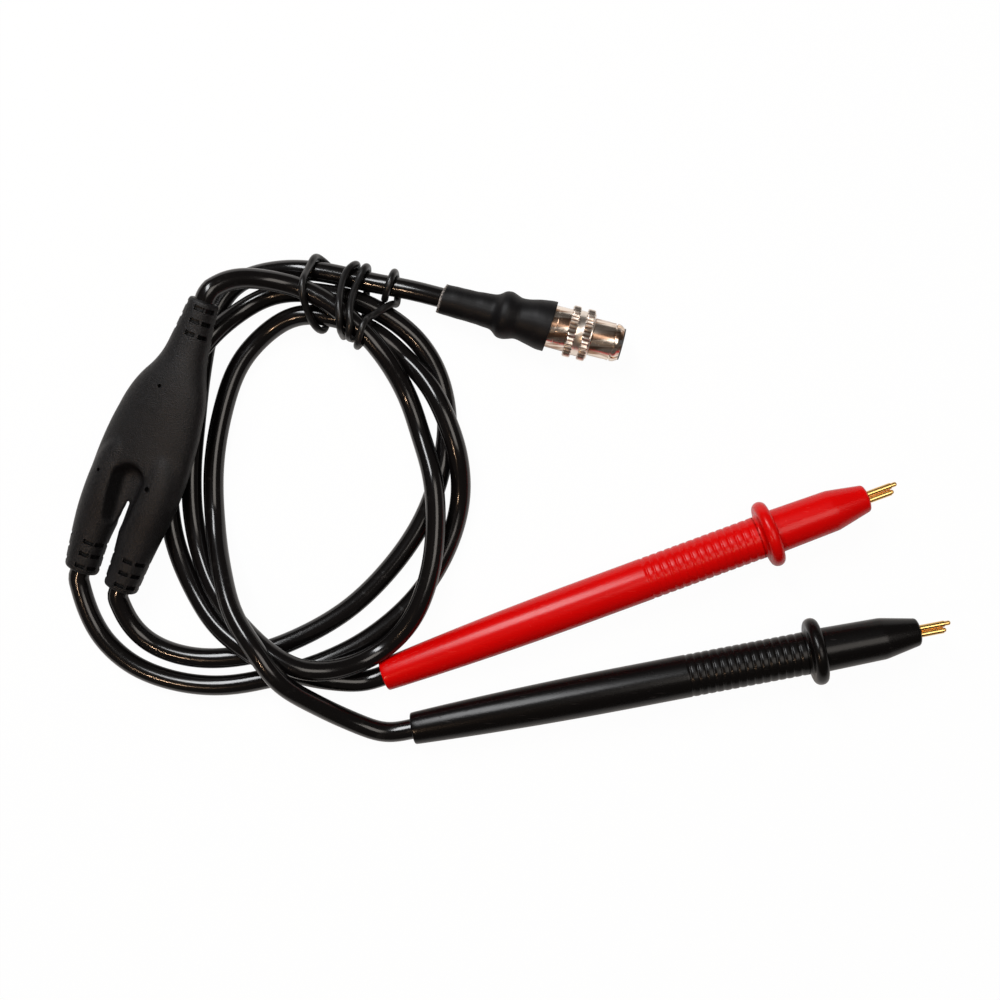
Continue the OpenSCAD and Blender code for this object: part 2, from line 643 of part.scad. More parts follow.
color(jacket) cord(main_route, lead_d);  // main_cable
y_splitter();
color(jacket) cord(tie_route, tie_d);  // tie_wire
plug_boot();
plug_back_nut();
plug_cable_clamp();
plug_body();
plug_release_sleeve();
plug_sleeve_spring();
plug_barrel();
plug_insulator();
plug_contacts();
plug_cores();
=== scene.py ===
import math

import bpy
from mathutils import Matrix, Vector


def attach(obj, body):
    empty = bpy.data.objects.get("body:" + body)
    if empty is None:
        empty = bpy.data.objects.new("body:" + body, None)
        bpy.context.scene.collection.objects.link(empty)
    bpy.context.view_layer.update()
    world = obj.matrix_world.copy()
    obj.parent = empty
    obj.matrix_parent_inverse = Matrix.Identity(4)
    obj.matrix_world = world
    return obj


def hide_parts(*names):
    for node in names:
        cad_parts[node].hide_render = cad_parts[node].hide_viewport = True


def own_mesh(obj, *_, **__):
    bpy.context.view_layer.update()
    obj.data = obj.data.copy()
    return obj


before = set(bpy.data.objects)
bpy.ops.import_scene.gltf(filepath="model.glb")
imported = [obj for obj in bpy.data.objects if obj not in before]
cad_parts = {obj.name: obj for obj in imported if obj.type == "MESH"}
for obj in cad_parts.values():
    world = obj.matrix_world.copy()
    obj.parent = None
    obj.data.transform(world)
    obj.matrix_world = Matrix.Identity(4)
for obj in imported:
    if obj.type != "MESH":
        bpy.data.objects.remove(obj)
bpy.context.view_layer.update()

MM = 0.001
scene = bpy.context.scene

# Sizes that the solids have too, in millimetres
REAR_D, GRIP_D, SWELL_LENGTH = 8.5, 11.3, 58
GRIP_START, RIB_COUNT, RIB_PITCH, RIB_DEPTH = 75, 15, 2.07, 0.35
GUARD_D, GUARD_T, GUARD_X = 17.8, 2.6, 108.9
GUARD_FRONT = GUARD_X + GUARD_T / 2
NOSE_LENGTH, NOSE_D, NOSE_MID_D, NOSE_TAPER = 26.2, 11.6, 11.0, 9.9
NOSE_TIP_D, NOSE_FACE_D, NOSE_ROUND = 7.3, 4.9, 1.2
NOSE_END = GUARD_FRONT + NOSE_LENGTH
BARREL_D, BARREL_BORE, PLUNGER_D, PIN_PITCH = 1.5, 1.26, 1.2, 1.64
BARREL_FRONT = NOSE_END + 6.6
BARREL_REAR, BARREL_FLOOR, PLUNGER_LENGTH = BARREL_FRONT - 30, 1.5, 10
NOSE_HOLE_D = PIN_PITCH + BARREL_D + 0.24
PEN_TILT = math.asin((GUARD_D - REAR_D) / 2 / GUARD_X)
RED_REAR, RED_TURN = (-73.9, -16.5, 4.27), 20.4
BLACK_REAR, BLACK_TURN = (-66.2, -30.7, 4.27), 11.2
LEAD_D, LEAD_GRIP, TIE_D = 5.2, 16, 1.9
JACKET_D = LEAD_D + 0.16

CROTCH, SPLITTER_TURN = (-139.8, 31.2, 9.7), (-10, -9.5, 67.4)
STEM_LENGTH, LEG_LENGTH = 55.3, 24
LEG_V, STEM_V = (6.3, -5.9), -0.2
BODY_HALF_W, BODY_T, STEM_W, LEG_W, LEG_T = 13.1, 10.6, 7.8, 9.1, 8.6
SLOT_W, SLOT_PITCH = 1.2, 3.4

PLUG_REAR, PLUG_TURN = (-58.4, 83.9, 6.9), -14.5
CABLE_END, BOOT_END, BODY_FRONT = 28, 29.8, 36.4
SLEEVE_REAR, SLEEVE_FRONT, KNURL_D, KNURL_W, KNURL_GAP = 34.6, 41.0, 13.8, 2.1, 1.8
PLUG_BODY_D, PLUG_BARREL_D, GUIDE_D, PLUG_END = 11.4, 10, 9.4, 50
KNURL_COUNT = 36


# ---------------------------------------------------------------- places

def placed(at, roll, pitch, turn):
    """A frame at a point, rolled about X, then pitched about Y, then turned about Z."""
    return (Matrix.Translation(Vector(at) * MM)
            @ Matrix.Rotation(math.radians(turn), 4, "Z")
            @ Matrix.Rotation(math.radians(pitch), 4, "Y")
            @ Matrix.Rotation(math.radians(roll), 4, "X"))


TILT = math.degrees(PEN_TILT)
RED_PEN = placed(RED_REAR, 0, -TILT, RED_TURN)
BLACK_PEN = placed(BLACK_REAR, 0, -TILT, BLACK_TURN)
PLUG = placed(PLUG_REAR, 0, 0, PLUG_TURN)
SPLITTER = placed(CROTCH, *SPLITTER_TURN)


def at(place, x, y=0, z=0):
    return place @ Vector((x * MM, y * MM, z * MM))


def table(*points):
    return [Vector(p) * MM for p in points]


# ---------------------------------------------------------------- camera

CAMERA_HEIGHT, FIELD_WIDTH, SENSOR = 380, 270, 36

camera_data = bpy.data.cameras.new("camera")
camera_data.sensor_width = SENSOR
camera_data.lens = SENSOR * CAMERA_HEIGHT / FIELD_WIDTH
camera_data.clip_start = 0.01
camera_data.clip_end = 20
camera = bpy.data.objects.new("camera", camera_data)
camera.location = (-42.9 * MM, 30.3 * MM, CAMERA_HEIGHT * MM)
scene.collection.objects.link(camera)
scene.camera = camera


# ---------------------------------------------------------------- shader maths

class Socket:
    """A node socket that adds Math nodes when it is used in an expression."""

    def __init__(self, tree, socket):
        self.tree = tree
        self.socket = socket

    def node(self, kind, settings=None, out=0, **inputs):
        return add_node(self.tree, kind, settings, out, **inputs)

    def math(self, operation, *values):
        node = self.tree.nodes.new("ShaderNodeMath")
        node.operation = operation
        for index, value in enumerate(values):
            plug(self.tree, node.inputs[index], value)
        return Socket(self.tree, node.outputs[0])

    def __add__(self, other):
        return self.math("ADD", self, other)

    def __sub__(self, other):
        return self.math("SUBTRACT", self, other)

    def __mul__(self, other):
        return self.math("MULTIPLY", self, other)

    def __truediv__(self, other):
        return self.math("DIVIDE", self, other)

    def __pow__(self, other):
        return self.math("POWER", self, other)

    def __radd__(self, other):
        return self.math("ADD", other, self)

    def __rsub__(self, other):
        return self.math("SUBTRACT", other, self)

    def __rmul__(self, other):
        return self.math("MULTIPLY", other, self)

    def above(self, edge, softness=0.05):
        """0 below an edge, 1 above it, with a soft step between."""
        return add_node(self.tree, "ShaderNodeMapRange",
                        {"interpolation_type": "SMOOTHSTEP"}, 0,
                        Value=self, From_Min=edge - softness, From_Max=edge + softness)


def plug(tree, socket, value):
    if isinstance(value, Socket):
        tree.links.new(value.socket, socket)
    else:
        socket.default_value = value


def add_node(tree, kind, settings=None, out=0, **inputs):
    node = tree.nodes.new(kind)
    for key, value in (settings or {}).items():
        if key == "stops":
            ramp = node.color_ramp
            while len(ramp.elements) < len(value):
                ramp.elements.new(0.5)
            for element, (position, colour) in zip(ramp.elements, value):
                element.position = position
                element.color = (*colour, 1)
        else:
            setattr(node, key, value)
    for key, value in inputs.items():
        plug(tree, socket_named(node, key), value)
    return Socket(tree, node.outputs[out])


def socket_named(node, key):
    """An input by its name, with _ for a space, or by its number as in_0."""
    if key.startswith("in_"):
        return node.inputs[int(key[3:])]
    return node.inputs[key.replace("_", " ")]


class Finish:
    """A material with one Principled shader, and the handles that its looks need."""

    def __init__(self, name, **constants):
        self.material = bpy.data.materials.new(name)
        self.material.use_nodes = True
        self.tree = self.material.node_tree
        self.shader = self.tree.nodes["Principled BSDF"]
        for key, value in constants.items():
            self.shader.inputs[key.replace("_", " ")].default_value = value

    def node(self, kind, settings=None, out=0, **inputs):
        return add_node(self.tree, kind, settings, out, **inputs)

    def feed(self, **inputs):
        for key, value in inputs.items():
            plug(self.tree, self.shader.inputs[key.replace("_", " ")], value)
        return self

    def where(self, scale=(1, 1, 1), turn=(0, 0, 0)):
        """Object coordinates in millimetres, stretched and turned."""
        coordinates = self.node("ShaderNodeTexCoord", out=3)
        return self.node("ShaderNodeMapping", None, 0, Vector=coordinates,
                         Rotation=tuple(math.radians(a) for a in turn),
                         Scale=tuple(1000 * s for s in scale))

    def grain(self, scale, detail=3, rough=0.5, place=None):
        return self.node("ShaderNodeTexNoise", None, 0, Vector=place or self.where(),
                         Scale=scale, Detail=detail, Roughness=rough)

    def along(self):
        """How far along a cord a point is, in millimetres, and how far round it."""
        return self.node("ShaderNodeUVMap", {"uv_map": "run"})

    def mix(self, factor, low, high):
        node = self.tree.nodes.new("ShaderNodeMix")
        node.data_type = "RGBA"
        plug(self.tree, node.inputs[0], factor)
        for socket, colour in ((node.inputs[6], low), (node.inputs[7], high)):
            plug(self.tree, socket, colour if isinstance(colour, Socket) else (*colour, 1))
        return Socket(self.tree, node.outputs[2])

    def bump(self, height, strength, distance, under=None):
        inputs = dict(Height=height, Strength=strength, Distance=distance * MM)
        if under is not None:
            inputs["Normal"] = under
        return self.node("ShaderNodeBump", None, 0, **inputs)


# ---------------------------------------------------------------- meshes

def mesh_object(name, vertices, faces, finish, smooth=True, sharp=35):
    mesh = bpy.data.meshes.new(name)
    mesh.from_pydata([tuple(v) for v in vertices], [], faces)
    mesh.validate()
    mesh.update()
    thing = bpy.data.objects.new(name, mesh)
    scene.collection.objects.link(thing)
    mesh.materials.append(finish.material)
    if smooth:
        mesh.polygons.foreach_set("use_smooth", [True] * len(mesh.polygons))
        mesh.set_sharp_from_angle(angle=math.radians(sharp))
    return thing


def rounded(points, radius, steps=5):
    """Round a corner list: each point is (x, r) or (x, r, its own radius)."""
    out = []
    last = len(points) - 1
    for i, point in enumerate(points):
        here = Vector(point[:2])
        want = point[2] if len(point) > 2 else radius
        if i in (0, last) or want <= 0:
            out.append(here)
            continue
        back = Vector(points[i - 1][:2]) - here
        on = Vector(points[i + 1][:2]) - here
        reach = min(want, back.length * 0.45, on.length * 0.45)
        start, end = here + back.normalized() * reach, here + on.normalized() * reach
        for k in range(steps + 1):
            t = k / steps
            out.append(start.lerp(here, t).lerp(here.lerp(end, t), t))
    return out


def turned(name, place, profile, finish, sides=96, dent=None, sharp=35):
    """A solid of revolution along local X. dent moves a point in or out by its angle."""
    vertices, faces = [], []
    rows = len(profile)
    for x, r in profile:
        for k in range(sides):
            a = 2 * math.pi * k / sides
            rr = r + (dent(x, a) if dent and r > 0.2 else 0)
            vertices.append(at(place, x, rr * math.cos(a), rr * math.sin(a)))
    for i in range(rows - 1):
        for k in range(sides):
            n = (k + 1) % sides
            faces.append((i * sides + k, i * sides + n, (i + 1) * sides + n, (i + 1) * sides + k))
    return mesh_object(name, vertices, faces, finish, sharp=sharp)


def curve_through(points, step):
    """A smooth run through the points, as evenly spaced points."""
    fine = []
    count = len(points)
    for i in range(count - 1):
        p1, p2 = points[i], points[i + 1]
        p0 = points[i - 1] if i else p1 * 2 - p2
        p3 = points[i + 2] if i + 2 < count else p2 * 2 - p1
        t0 = 0
        t1 = t0 + max(1e-9, (p1 - p0).length) ** 0.5
        t2 = t1 + max(1e-9, (p2 - p1).length) ** 0.5
        t3 = t2 + max(1e-9, (p3 - p2).length) ** 0.5
        for j in range(12):
            t = t1 + (t2 - t1) * j / 12
            a1 = p0.lerp(p1, (t - t0) / (t1 - t0))
            a2 = p1.lerp(p2, (t - t1) / (t2 - t1))
            a3 = p2.lerp(p3, (t - t2) / (t3 - t2))
            b1 = a1.lerp(a2, (t - t0) / (t2 - t0))
            b2 = a2.lerp(a3, (t - t1) / (t3 - t1))
            fine.append(b1.lerp(b2, (t - t1) / (t2 - t1)))
    fine.append(points[-1])
    runs = [0]
    for a, b in zip(fine, fine[1:]):
        runs.append(runs[-1] + (b - a).length)
    steps = max(2, round(runs[-1] / step))
    out, j = [], 0
    for k in range(steps + 1):
        want = runs[-1] * k / steps
        while j < len(runs) - 2 and runs[j + 1] < want:
            j += 1
        gap = runs[j + 1] - runs[j]
        out.append(fine[j].lerp(fine[j + 1], (want - runs[j]) / gap if gap else 0))
    return out, runs[-1]


def eased(points, rounds, fixed):
    """Take small kinks out of a run, but leave its two ends straight."""
    for _ in range(rounds):
        points = [p if i < fixed or i >= len(points) - fixed
                  else p * 0.5 + (points[i - 1] + points[i + 1]) * 0.25
                  for i, p in enumerate(points)]
    return points


def cable(name, route, diameter, finish, sides=28, step=0.9, rounds=22):
    """A tube along a route, with its run along and round it kept for its material."""
    points, length = curve_through(route, step * MM)
    points = eased(points, rounds, 5)
    points = [Vector((p.x, p.y, max(p.z, diameter / 2 * MM))) for p in points]
    vertices, faces, runs = [], [], []
    last = len(points) - 1
    way = (points[1] - points[0]).normalized()
    side = Vector((0, 0, 1)).cross(way).normalized()
    length = 0
    for i, point in enumerate(points):
        way = (points[min(i + 1, last)] - points[max(i - 1, 0)]).normalized()
        side = (side - way * side.dot(way)).normalized()
        up = way.cross(side)
        if i:
            length += (point - points[i - 1]).length
        for k in range(sides):
            a = 2 * math.pi * k / sides
            r = diameter / 2 * MM
            vertices.append(point + side * (r * math.cos(a)) + up * (r * math.sin(a)))
        runs.append(length / MM)
    for i in range(last):
        for k in range(sides):
            n = (k + 1) % sides
            faces.append((i * sides + k, i * sides + n, (i + 1) * sides + n, (i + 1) * sides + k))
    faces.append(tuple(range(sides - 1, -1, -1)))
    faces.append(tuple(last * sides + k for k in range(sides)))
    thing = mesh_object(name, vertices, faces, finish, sharp=60)
    layer = thing.data.uv_layers.new(name="run")
    for polygon in thing.data.polygons:
        ring = [thing.data.loops[l].vertex_index % sides for l in polygon.loop_indices]
        wraps = len(ring) == 4 and max(ring) - min(ring) > 1
        for loop, k in zip(polygon.loop_indices, ring):
            i = thing.data.loops[loop].vertex_index // sides
            around = k + (sides if wraps and k == 0 else 0)
            layer.data[loop].uv = (runs[i], around / sides * math.pi * diameter)
    return thing, points, length


# ---------------------------------------------------------------- finishes

def jacket_finish():
    """Glossy black PVC: a soft skin with faint long waves from the extruder."""
    f = Finish("pvc_jacket", IOR=1.5, Specular_IOR_Level=0.42)
    uv = f.along()
    stretched = f.node("ShaderNodeMapping", None, 0, Vector=uv, Scale=(0.035, 0.9, 1))
    waves = f.grain(1.0, 2, 0.5, stretched)
    dust = f.grain(0.35, 5, 0.7).above(0.63, 0.06)
    f.feed(Base_Color=f.mix(dust * 0.5, (0.0032, 0.0027, 0.0027), (0.010, 0.009, 0.0085)),
           Roughness=0.115 + waves * 0.10 + dust * 0.10)
    f.feed(Normal=f.bump(waves, 0.2, 0.06))
    return f


JACKET = jacket_finish()


# ---------------------------------------------------------------- cords

def splitter_leg(v):
    return [at(SPLITTER, -LEG_LENGTH, v), at(SPLITTER, -LEG_LENGTH - 2, v)]


BLACK_ROUTE = splitter_leg(LEG_V[0]) + table(
    (-154.9, 6.2, 3.6), (-152.9, -0.3, 2.9), (-149.8, -6.2, 2.6), (-142, -13.5, 2.6),
    (-131, -18, 2.6), (-118, -19.5, 2.6), (-105, -17.5, 2.6), (-90, -13, 2.6),
    (-77.5, -6.5, 2.6), (-65.5, 4, 2.6), (-57.5, 16.5, 2.6), (-53.5, 30, 3.2),
    (-54, 42, 7), (-57, 51.5, 8.2), (-61.3, 60.2, 7.4), (-67.8, 67.7, 4),
    (-77.1, 75.5, 5.6), (-89.5, 79.4, 5.6), (-97, 79.5, 5.5), (-105.2, 75.3, 3),
    (-112.8, 66.7, 2.6), (-117.5, 53, 2.6), (-119.7, 38, 2.6), (-119, 24, 3.8),
    (-116.2, 12, 10), (-112, 0.5, 16), (-106, -8, 18.6), (-100, -16.6, 17.4),
    (-91, -23.5, 10.6), (-82, -28.7, 5.6),
) + [at(BLACK_PEN, -7), at(BLACK_PEN, 0), at(BLACK_PEN, LEAD_GRIP)]
RED_ROUTE = splitter_leg(LEG_V[1]) + table(
    (-143.9, 2.4, 5.6), (-142.5, -1.4, 4.4), (-139.6, -5.6, 3.2), (-135, -9, 2.6),
    (-124.5, -12, 2.6), (-110, -11.2, 2.6), (-96.5, -6.5, 2.6), (-83, 1.5, 2.6),
    (-71.5, 13, 2.6), (-63.5, 25, 2.6), (-58.8, 38, 2.6), (-57, 52, 2.6),
    (-59.5, 64, 2.6), (-64.5, 72.5, 3), (-71.2, 78.3, 4.2), (-81, 83.4, 5.6),
    (-89, 85, 5.6), (-97, 85.8, 5.6), (-105, 84.8, 3.8), (-112, 80.8, 4.4),
    (-119.5, 73.5, 8), (-125, 65.8, 8), (-129.3, 57, 5), (-131.8, 46, 2.6),
    (-131.9, 32, 2.6), (-129.9, 18.5, 2.6), (-125, 7, 3.6), (-118.2, -3, 6),
    (-110, -9.3, 8), (-102, -13.7, 8), (-93.5, -16.4, 8), (-84.5, -18, 5.6),
) + [at(RED_PEN, -5), at(RED_PEN, 0), at(RED_PEN, LEAD_GRIP)]
MAIN_ROUTE = [at(SPLITTER, STEM_LENGTH, STEM_V), at(SPLITTER, STEM_LENGTH + 1.4, STEM_V)] + table(
    (-116.8, 84.6, 18.9), (-114.7, 86.3, 18.1), (-111.8, 87.5, 16.6), (-108, 88, 14.8),
    (-103.5, 87.7, 12.7), (-98.5, 86.9, 11.4), (-95, 85.9, 11.2), (-88, 82.3, 11.2),
    (-80.5, 76.3, 11.2), (-73.5, 68.5, 9.4), (-67.5, 58, 5.4), (-64, 47.5, 5),
    (-60.6, 36, 8), (-59.9, 23, 8.1), (-61.5, 10.5, 8.1), (-66, -1, 7.6),
    (-72.5, -8.3, 6), (-79, -12.3, 7.2), (-87, -14.4, 11.2), (-95, -14, 13.4),
    (-103, -9.8, 13.1), (-110.5, -3.2, 11.3), (-117, 4, 8), (-121.5, 12, 4.4),
    (-124.9, 24, 2.6), (-125.6, 38, 2.6), (-124.4, 52, 2.6), (-122.8, 66, 2.6),
    (-119.8, 79.5, 2.6), (-113.5, 88.5, 2.6), (-105, 91.3, 3.4), (-96.5, 91.6, 5.6),
    (-88, 90.6, 5.6), (-78.5, 88.4, 5.6),
) + [at(PLUG, -8), at(PLUG, 0), at(PLUG, CABLE_END)]
TIE_ROUTE = table(
    (-73.6, 84, 4.6), (-73.5, 83.6, 6.6), (-73, 84.6, 8.8), (-72.2, 86.8, 10.1),
    (-71.3, 89.4, 9.4), (-70.8, 90.8, 6.8), (-70.7, 90, 3.9), (-70.5, 87.4, 2.5),
    (-70.4, 84.6, 2.2), (-70.6, 82.8, 3), (-71, 82.5, 5), (-71.6, 82.2, 7),
    (-73, 81.2, 8.6), (-75.2, 79.6, 9.6), (-76.9, 78.3, 11.4), (-77.9, 77, 14.1),
    (-78.8, 75.1, 14.9), (-79.3, 73.2, 14.5), (-80, 71.3, 13.3), (-80.4, 70.6, 10.6),
    (-80.2, 71.3, 8), (-79.7, 72.2, 5.6), (-79.6, 73.1, 3.2), (-79.5, 75, 2.1),
    (-79.4, 77.5, 1.9), (-79, 82.3, 1.7), (-78.6, 88.6, 1.9), (-78.3, 91.5, 2.6),
    (-78.2, 92.3, 5.6), (-78.7, 91.5, 8.5), (-80, 88.5, 9.8), (-81.2, 85, 11.5),
    (-81.8, 81.1, 13.9), (-81.9, 78.4, 15.1), (-81.8, 75.7, 14.9), (-82.4, 73.3, 13.4),
    (-82.4, 72.8, 10.8), (-82.1, 73, 7.5), (-82.1, 73.2, 5), (-82.3, 74.3, 2.6),
    (-82.7, 77, 1.9), (-82.2, 83.6, 1.9), (-81.6, 89, 1.9), (-81.2, 92, 2.9),
    (-81, 93, 5.6), (-82, 92.1, 8.4), (-83.4, 90.2, 9.8), (-84.2, 87.5, 11.2),
    (-84.6, 84.4, 12.9), (-84.7, 81.6, 14.6), (-84.7, 79.4, 15.1), (-84.6, 76.8, 14.6),
    (-84.6, 75, 13), (-84.5, 74, 9), (-84.5, 73.8, 6.6), (-84.6, 73.9, 4.4),
    (-84.8, 75, 2.3), (-85.2, 77.6, 1.9), (-85.6, 84.2, 1.9), (-87, 90.2, 1.9),
    (-88.7, 92.9, 2.4), (-90.6, 94.5, 4), (-91.6, 94.9, 5.8), (-92.2, 94, 8.2),
    (-92.8, 92.1, 9.9), (-93.6, 89.5, 12.6), (-94, 87.8, 14.5), (-94.2, 86.4, 15),
    (-94.3, 84.8, 15), (-94.2, 83.3, 14.6), (-93.9, 82, 13.4), (-93.3, 79.9, 11.7),
    (-92.4, 77.3, 9.1), (-91.2, 75.7, 6.9), (-90.2, 75.5, 4.6), (-89.6, 76.7, 2.6),
    (-89.2, 79.5, 1.9), (-88.9, 84.5, 1.9), (-89, 87, 1.9),
)

black_lead, black_run, black_length = cable("black_lead_jacket", BLACK_ROUTE, JACKET_D, JACKET)
red_lead, red_run, red_length = cable("red_lead_jacket", RED_ROUTE, JACKET_D, JACKET)
main_cable, main_run, main_length = cable("main_cable_jacket", MAIN_ROUTE, JACKET_D, JACKET)

for piece, node in ((black_lead, "black_lead"), (red_lead, "red_lead"),
                    (main_cable, "main_cable")):
    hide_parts(node)
    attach(piece, "set")


# ---------------------------------------------------------------- finishes of the pieces

def abs_finish(name, body, shade, worn):
    """Moulded ABS: fine ejection grain, a faint flow mottle, and handling marks."""
    f = Finish(name, IOR=1.5, Specular_IOR_Level=0.2)
    grain = f.grain(9.0, 4, 0.6)
    flow = f.grain(0.09, 3, 0.5, f.where((1, 2.2, 2.2)))
    marks = f.grain(1.1, 6, 0.75).above(0.66, 0.05)
    scuffs = f.grain(0.5, 2, 0.5, f.where((0.35, 3.5, 3.5), (8, 0, 24))).above(0.7, 0.03)
    tone = f.mix(flow, shade, body)
    f.feed(Base_Color=f.mix((marks * 0.35) + (scuffs * 0.4), tone, worn),
           Roughness=0.20 + grain * 0.10 + marks * 0.14 + scuffs * 0.12)
    f.feed(Normal=f.bump(grain, 0.16, 0.02, f.bump(flow, 0.3, 0.12)))
    return f


def splitter_finish():
    """Spark-eroded soft PVC: matt, with a close pebble that glints where it faces a light, and
    lighter specks painted into its colour as glints.
    """
    f = Finish("splitter_rubber", IOR=1.48, Specular_IOR_Level=0.32)
    pebble = f.node("ShaderNodeTexVoronoi", {"feature": "SMOOTH_F1"}, 0,
                    Vector=f.where(), Scale=3.4, Smoothness=0.6)
    speck_and_painted_glint = f.grain(5.5, 5, 0.7)
    cloud = f.grain(0.12, 3, 0.5)
    # Painted glints: lighter specks in the base colour stand in for sparkle; the same noise also
    # roughens and bumps the skin, which is real texture.
    f.feed(Base_Color=f.mix(speck_and_painted_glint.above(0.58, 0.07), (0.0014, 0.0013, 0.0015),
                            (0.021, 0.020, 0.0225)),
           Roughness=0.34 + cloud * 0.10 + speck_and_painted_glint * 0.14)
    f.feed(Normal=f.bump(speck_and_painted_glint, 0.7, 0.07, f.bump(pebble, 0.75, 0.12)))
    return f


def shrink_finish():
    """Heat-shrink tube: satin black, drawn in faint rings where it was warmed."""
    f = Finish("heat_shrink", IOR=1.5, Specular_IOR_Level=0.16)
    rings = f.grain(0.5, 3, 0.55, f.where((1.6, 0.35, 0.35), (0, 0, -PLUG_TURN)))
    pores = f.grain(6.0, 3, 0.6)
    chalk = f.grain(0.45, 5, 0.7).above(0.64, 0.06)
    skin = f.mix(chalk * 0.4, (0.0040, 0.0038, 0.0042), (0.016, 0.015, 0.016))
    rim = f.node("ShaderNodeAttribute", {"attribute_name": "rim"}, 2)
    frayed = f.grain(2.4, 3, 0.7).above(0.47, 0.08)
    f.feed(Base_Color=f.mix(rim * frayed, skin, (0.34, 0.31, 0.29)),
           Roughness=0.36 + rings * 0.16 + pores * 0.06)
    f.feed(Normal=f.bump(pores, 0.12, 0.02, f.bump(rings, 0.35, 0.12)))
    return f


def nickel_finish(name, knurled=False):
    """Nickel plate over turned brass: tool rings, haze, small pits, painted reflection bands along
    its length, and painted shade in the tooth roots with painted highlight on the crests.
    """
    f = Finish(name, Metallic=1.0, IOR=1.9)
    rings = f.grain(1.0, 3, 0.6, f.where((9, 0.15, 0.15), (0, 0, -PLUG_TURN)))
    haze = f.grain(0.35, 4, 0.6)
    # Painted reflection: lengthwise dark brown and cream bands in the base colour stand in for the
    # room and the paper mirrored in the metal.
    painted_reflection_bands = f.grain(0.6, 2, 0.5, f.where((0.05, 1, 1), (0, 0, -PLUG_TURN)))
    pits = f.node("ShaderNodeTexVoronoi", {"feature": "F1"}, 0, Vector=f.where(), Scale=1.1)
    pit = 1.0 - pits.above(0.09, 0.04)
    painted_reflection_tone = f.mix(painted_reflection_bands.above(0.5, 0.08), (0.34, 0.21, 0.14), (0.90, 0.80, 0.70))
    tone = f.mix(pit * 0.7, painted_reflection_tone, (0.16, 0.10, 0.07))
    rough = 0.13 + haze * 0.10 + rings * 0.06 + pit * 0.2
    if knurled:
        # Painted highlight and shade: tooth crests get a pale cream and tooth roots a dark brown in
        # the base colour.
        crest = f.node("ShaderNodeAttribute", {"attribute_name": "crest"}, 2)
        tone = f.mix(crest, (0.26, 0.16, 0.11), (0.93, 0.85, 0.76))
        rough = rough + 0.08
    f.feed(Base_Color=tone, Roughness=rough)
    f.feed(Normal=f.bump(pit, -0.5, 0.05, f.bump(rings, 0.07, 0.03)))
    return f


def gilt_finish():
    """Gold plate on the contact pins, with lengthwise drawing lines and dull spots."""
    f = Finish("gilt", Metallic=1.0, IOR=1.6)
    lines = f.grain(0.4, 2, 0.5, f.where((0.25, 2, 2), (0, 0, -16)))
    dull = f.grain(0.5, 3, 0.5)
    f.feed(Base_Color=f.mix(dull, (0.74, 0.42, 0.12), (0.95, 0.64, 0.25)),
           Roughness=0.16 + dull * 0.10 + lines * 0.05)
    return f


def tie_finish():
    """The tie wire's PVC coat: thinner and duller than the leads' jackets."""
    f = Finish("tie_coat", IOR=1.5, Specular_IOR_Level=0.45)
    uv = f.along()
    kinks = f.grain(1.0, 2, 0.5, f.node("ShaderNodeMapping", None, 0, Vector=uv,
                                        Scale=(0.5, 0.3, 1)))
    fine = f.grain(4.0, 3, 0.6)
    f.feed(Base_Color=f.mix(kinks, (0.0026, 0.0024, 0.0024), (0.0062, 0.0058, 0.0058)),
           Roughness=0.24 + kinks * 0.16 + fine * 0.06)
    f.feed(Normal=f.bump(kinks, 0.3, 0.10, f.bump(fine, 0.1, 0.03)))
    return f


def steel_finish(name, tone):
    """Plain bright steel inside the set: drawn lines and a little grease."""
    f = Finish(name, Metallic=1.0)
    lines = f.grain(2.0, 3, 0.6, f.where((0.5, 3, 3)))
    grease = f.grain(0.6, 3, 0.5)
    f.feed(Base_Color=f.mix(grease, tuple(c * 0.75 for c in tone), tone),
           Roughness=0.22 + grease * 0.2 + lines * 0.08)
    f.feed(Normal=f.bump(lines, 0.15, 0.02))
    return f


def plastic_finish(name, tone, dark, rough):
    """Core insulation and insert plastic: even, slightly cloudy, with light bloom."""
    f = Finish(name, IOR=1.46, Specular_IOR_Level=0.5)
    cloud = f.grain(0.8, 3, 0.5)
    bloom = f.grain(3.0, 4, 0.65)
    f.feed(Base_Color=f.mix(cloud, dark, tone), Roughness=rough + bloom * 0.15)
    f.feed(Normal=f.bump(bloom, 0.12, 0.02))
    return f


RED_ABS = abs_finish("red_abs", (0.66, 0.0008, 0.0006), (0.56, 0.0004, 0.0004),
                     (0.70, 0.012, 0.006))
BLACK_ABS = abs_finish("black_abs", (0.0034, 0.0029, 0.0028), (0.0024, 0.0021, 0.0021),
                       (0.012, 0.010, 0.0095))
RUBBER = splitter_finish()
SHRINK = shrink_finish()
NICKEL = nickel_finish("turned_nickel")
KNURLED = nickel_finish("knurled_nickel", True)
GILT = gilt_finish()
TIE_COAT = tie_finish()
SPRING_STEEL = steel_finish("spring_steel", (0.55, 0.53, 0.50))
CLAMP_STEEL = steel_finish("clamp_steel", (0.42, 0.41, 0.40))
INSERT = plastic_finish("contact_insert", (0.020, 0.020, 0.022), (0.010, 0.010, 0.011), 0.35)
PIN_BLOCK = plastic_finish("pin_block", (0.030, 0.027, 0.024), (0.014, 0.013, 0.012), 0.4)
RED_CORE = plastic_finish("red_core", (0.55, 0.012, 0.012), (0.42, 0.008, 0.010), 0.3)
BLACK_CORE = plastic_finish("black_core", (0.016, 0.016, 0.017), (0.010, 0.010, 0.010), 0.3)


def belongs(piece, body, slot, *nodes):
    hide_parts(*nodes)
    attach(piece, body)
    return piece


def keep_solid(node, finish):
    """A solid whose own shape is right stays, with a made finish."""
    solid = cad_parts[node]
    solid.data.materials.clear()
    solid.data.materials.append(finish.material)


# ---------------------------------------------------------------- pens

def swell_r(x):
    rest = max(0.0, 1 - x / SWELL_LENGTH)
    return GRIP_D / 2 - (GRIP_D - REAR_D) / 2 * rest * rest


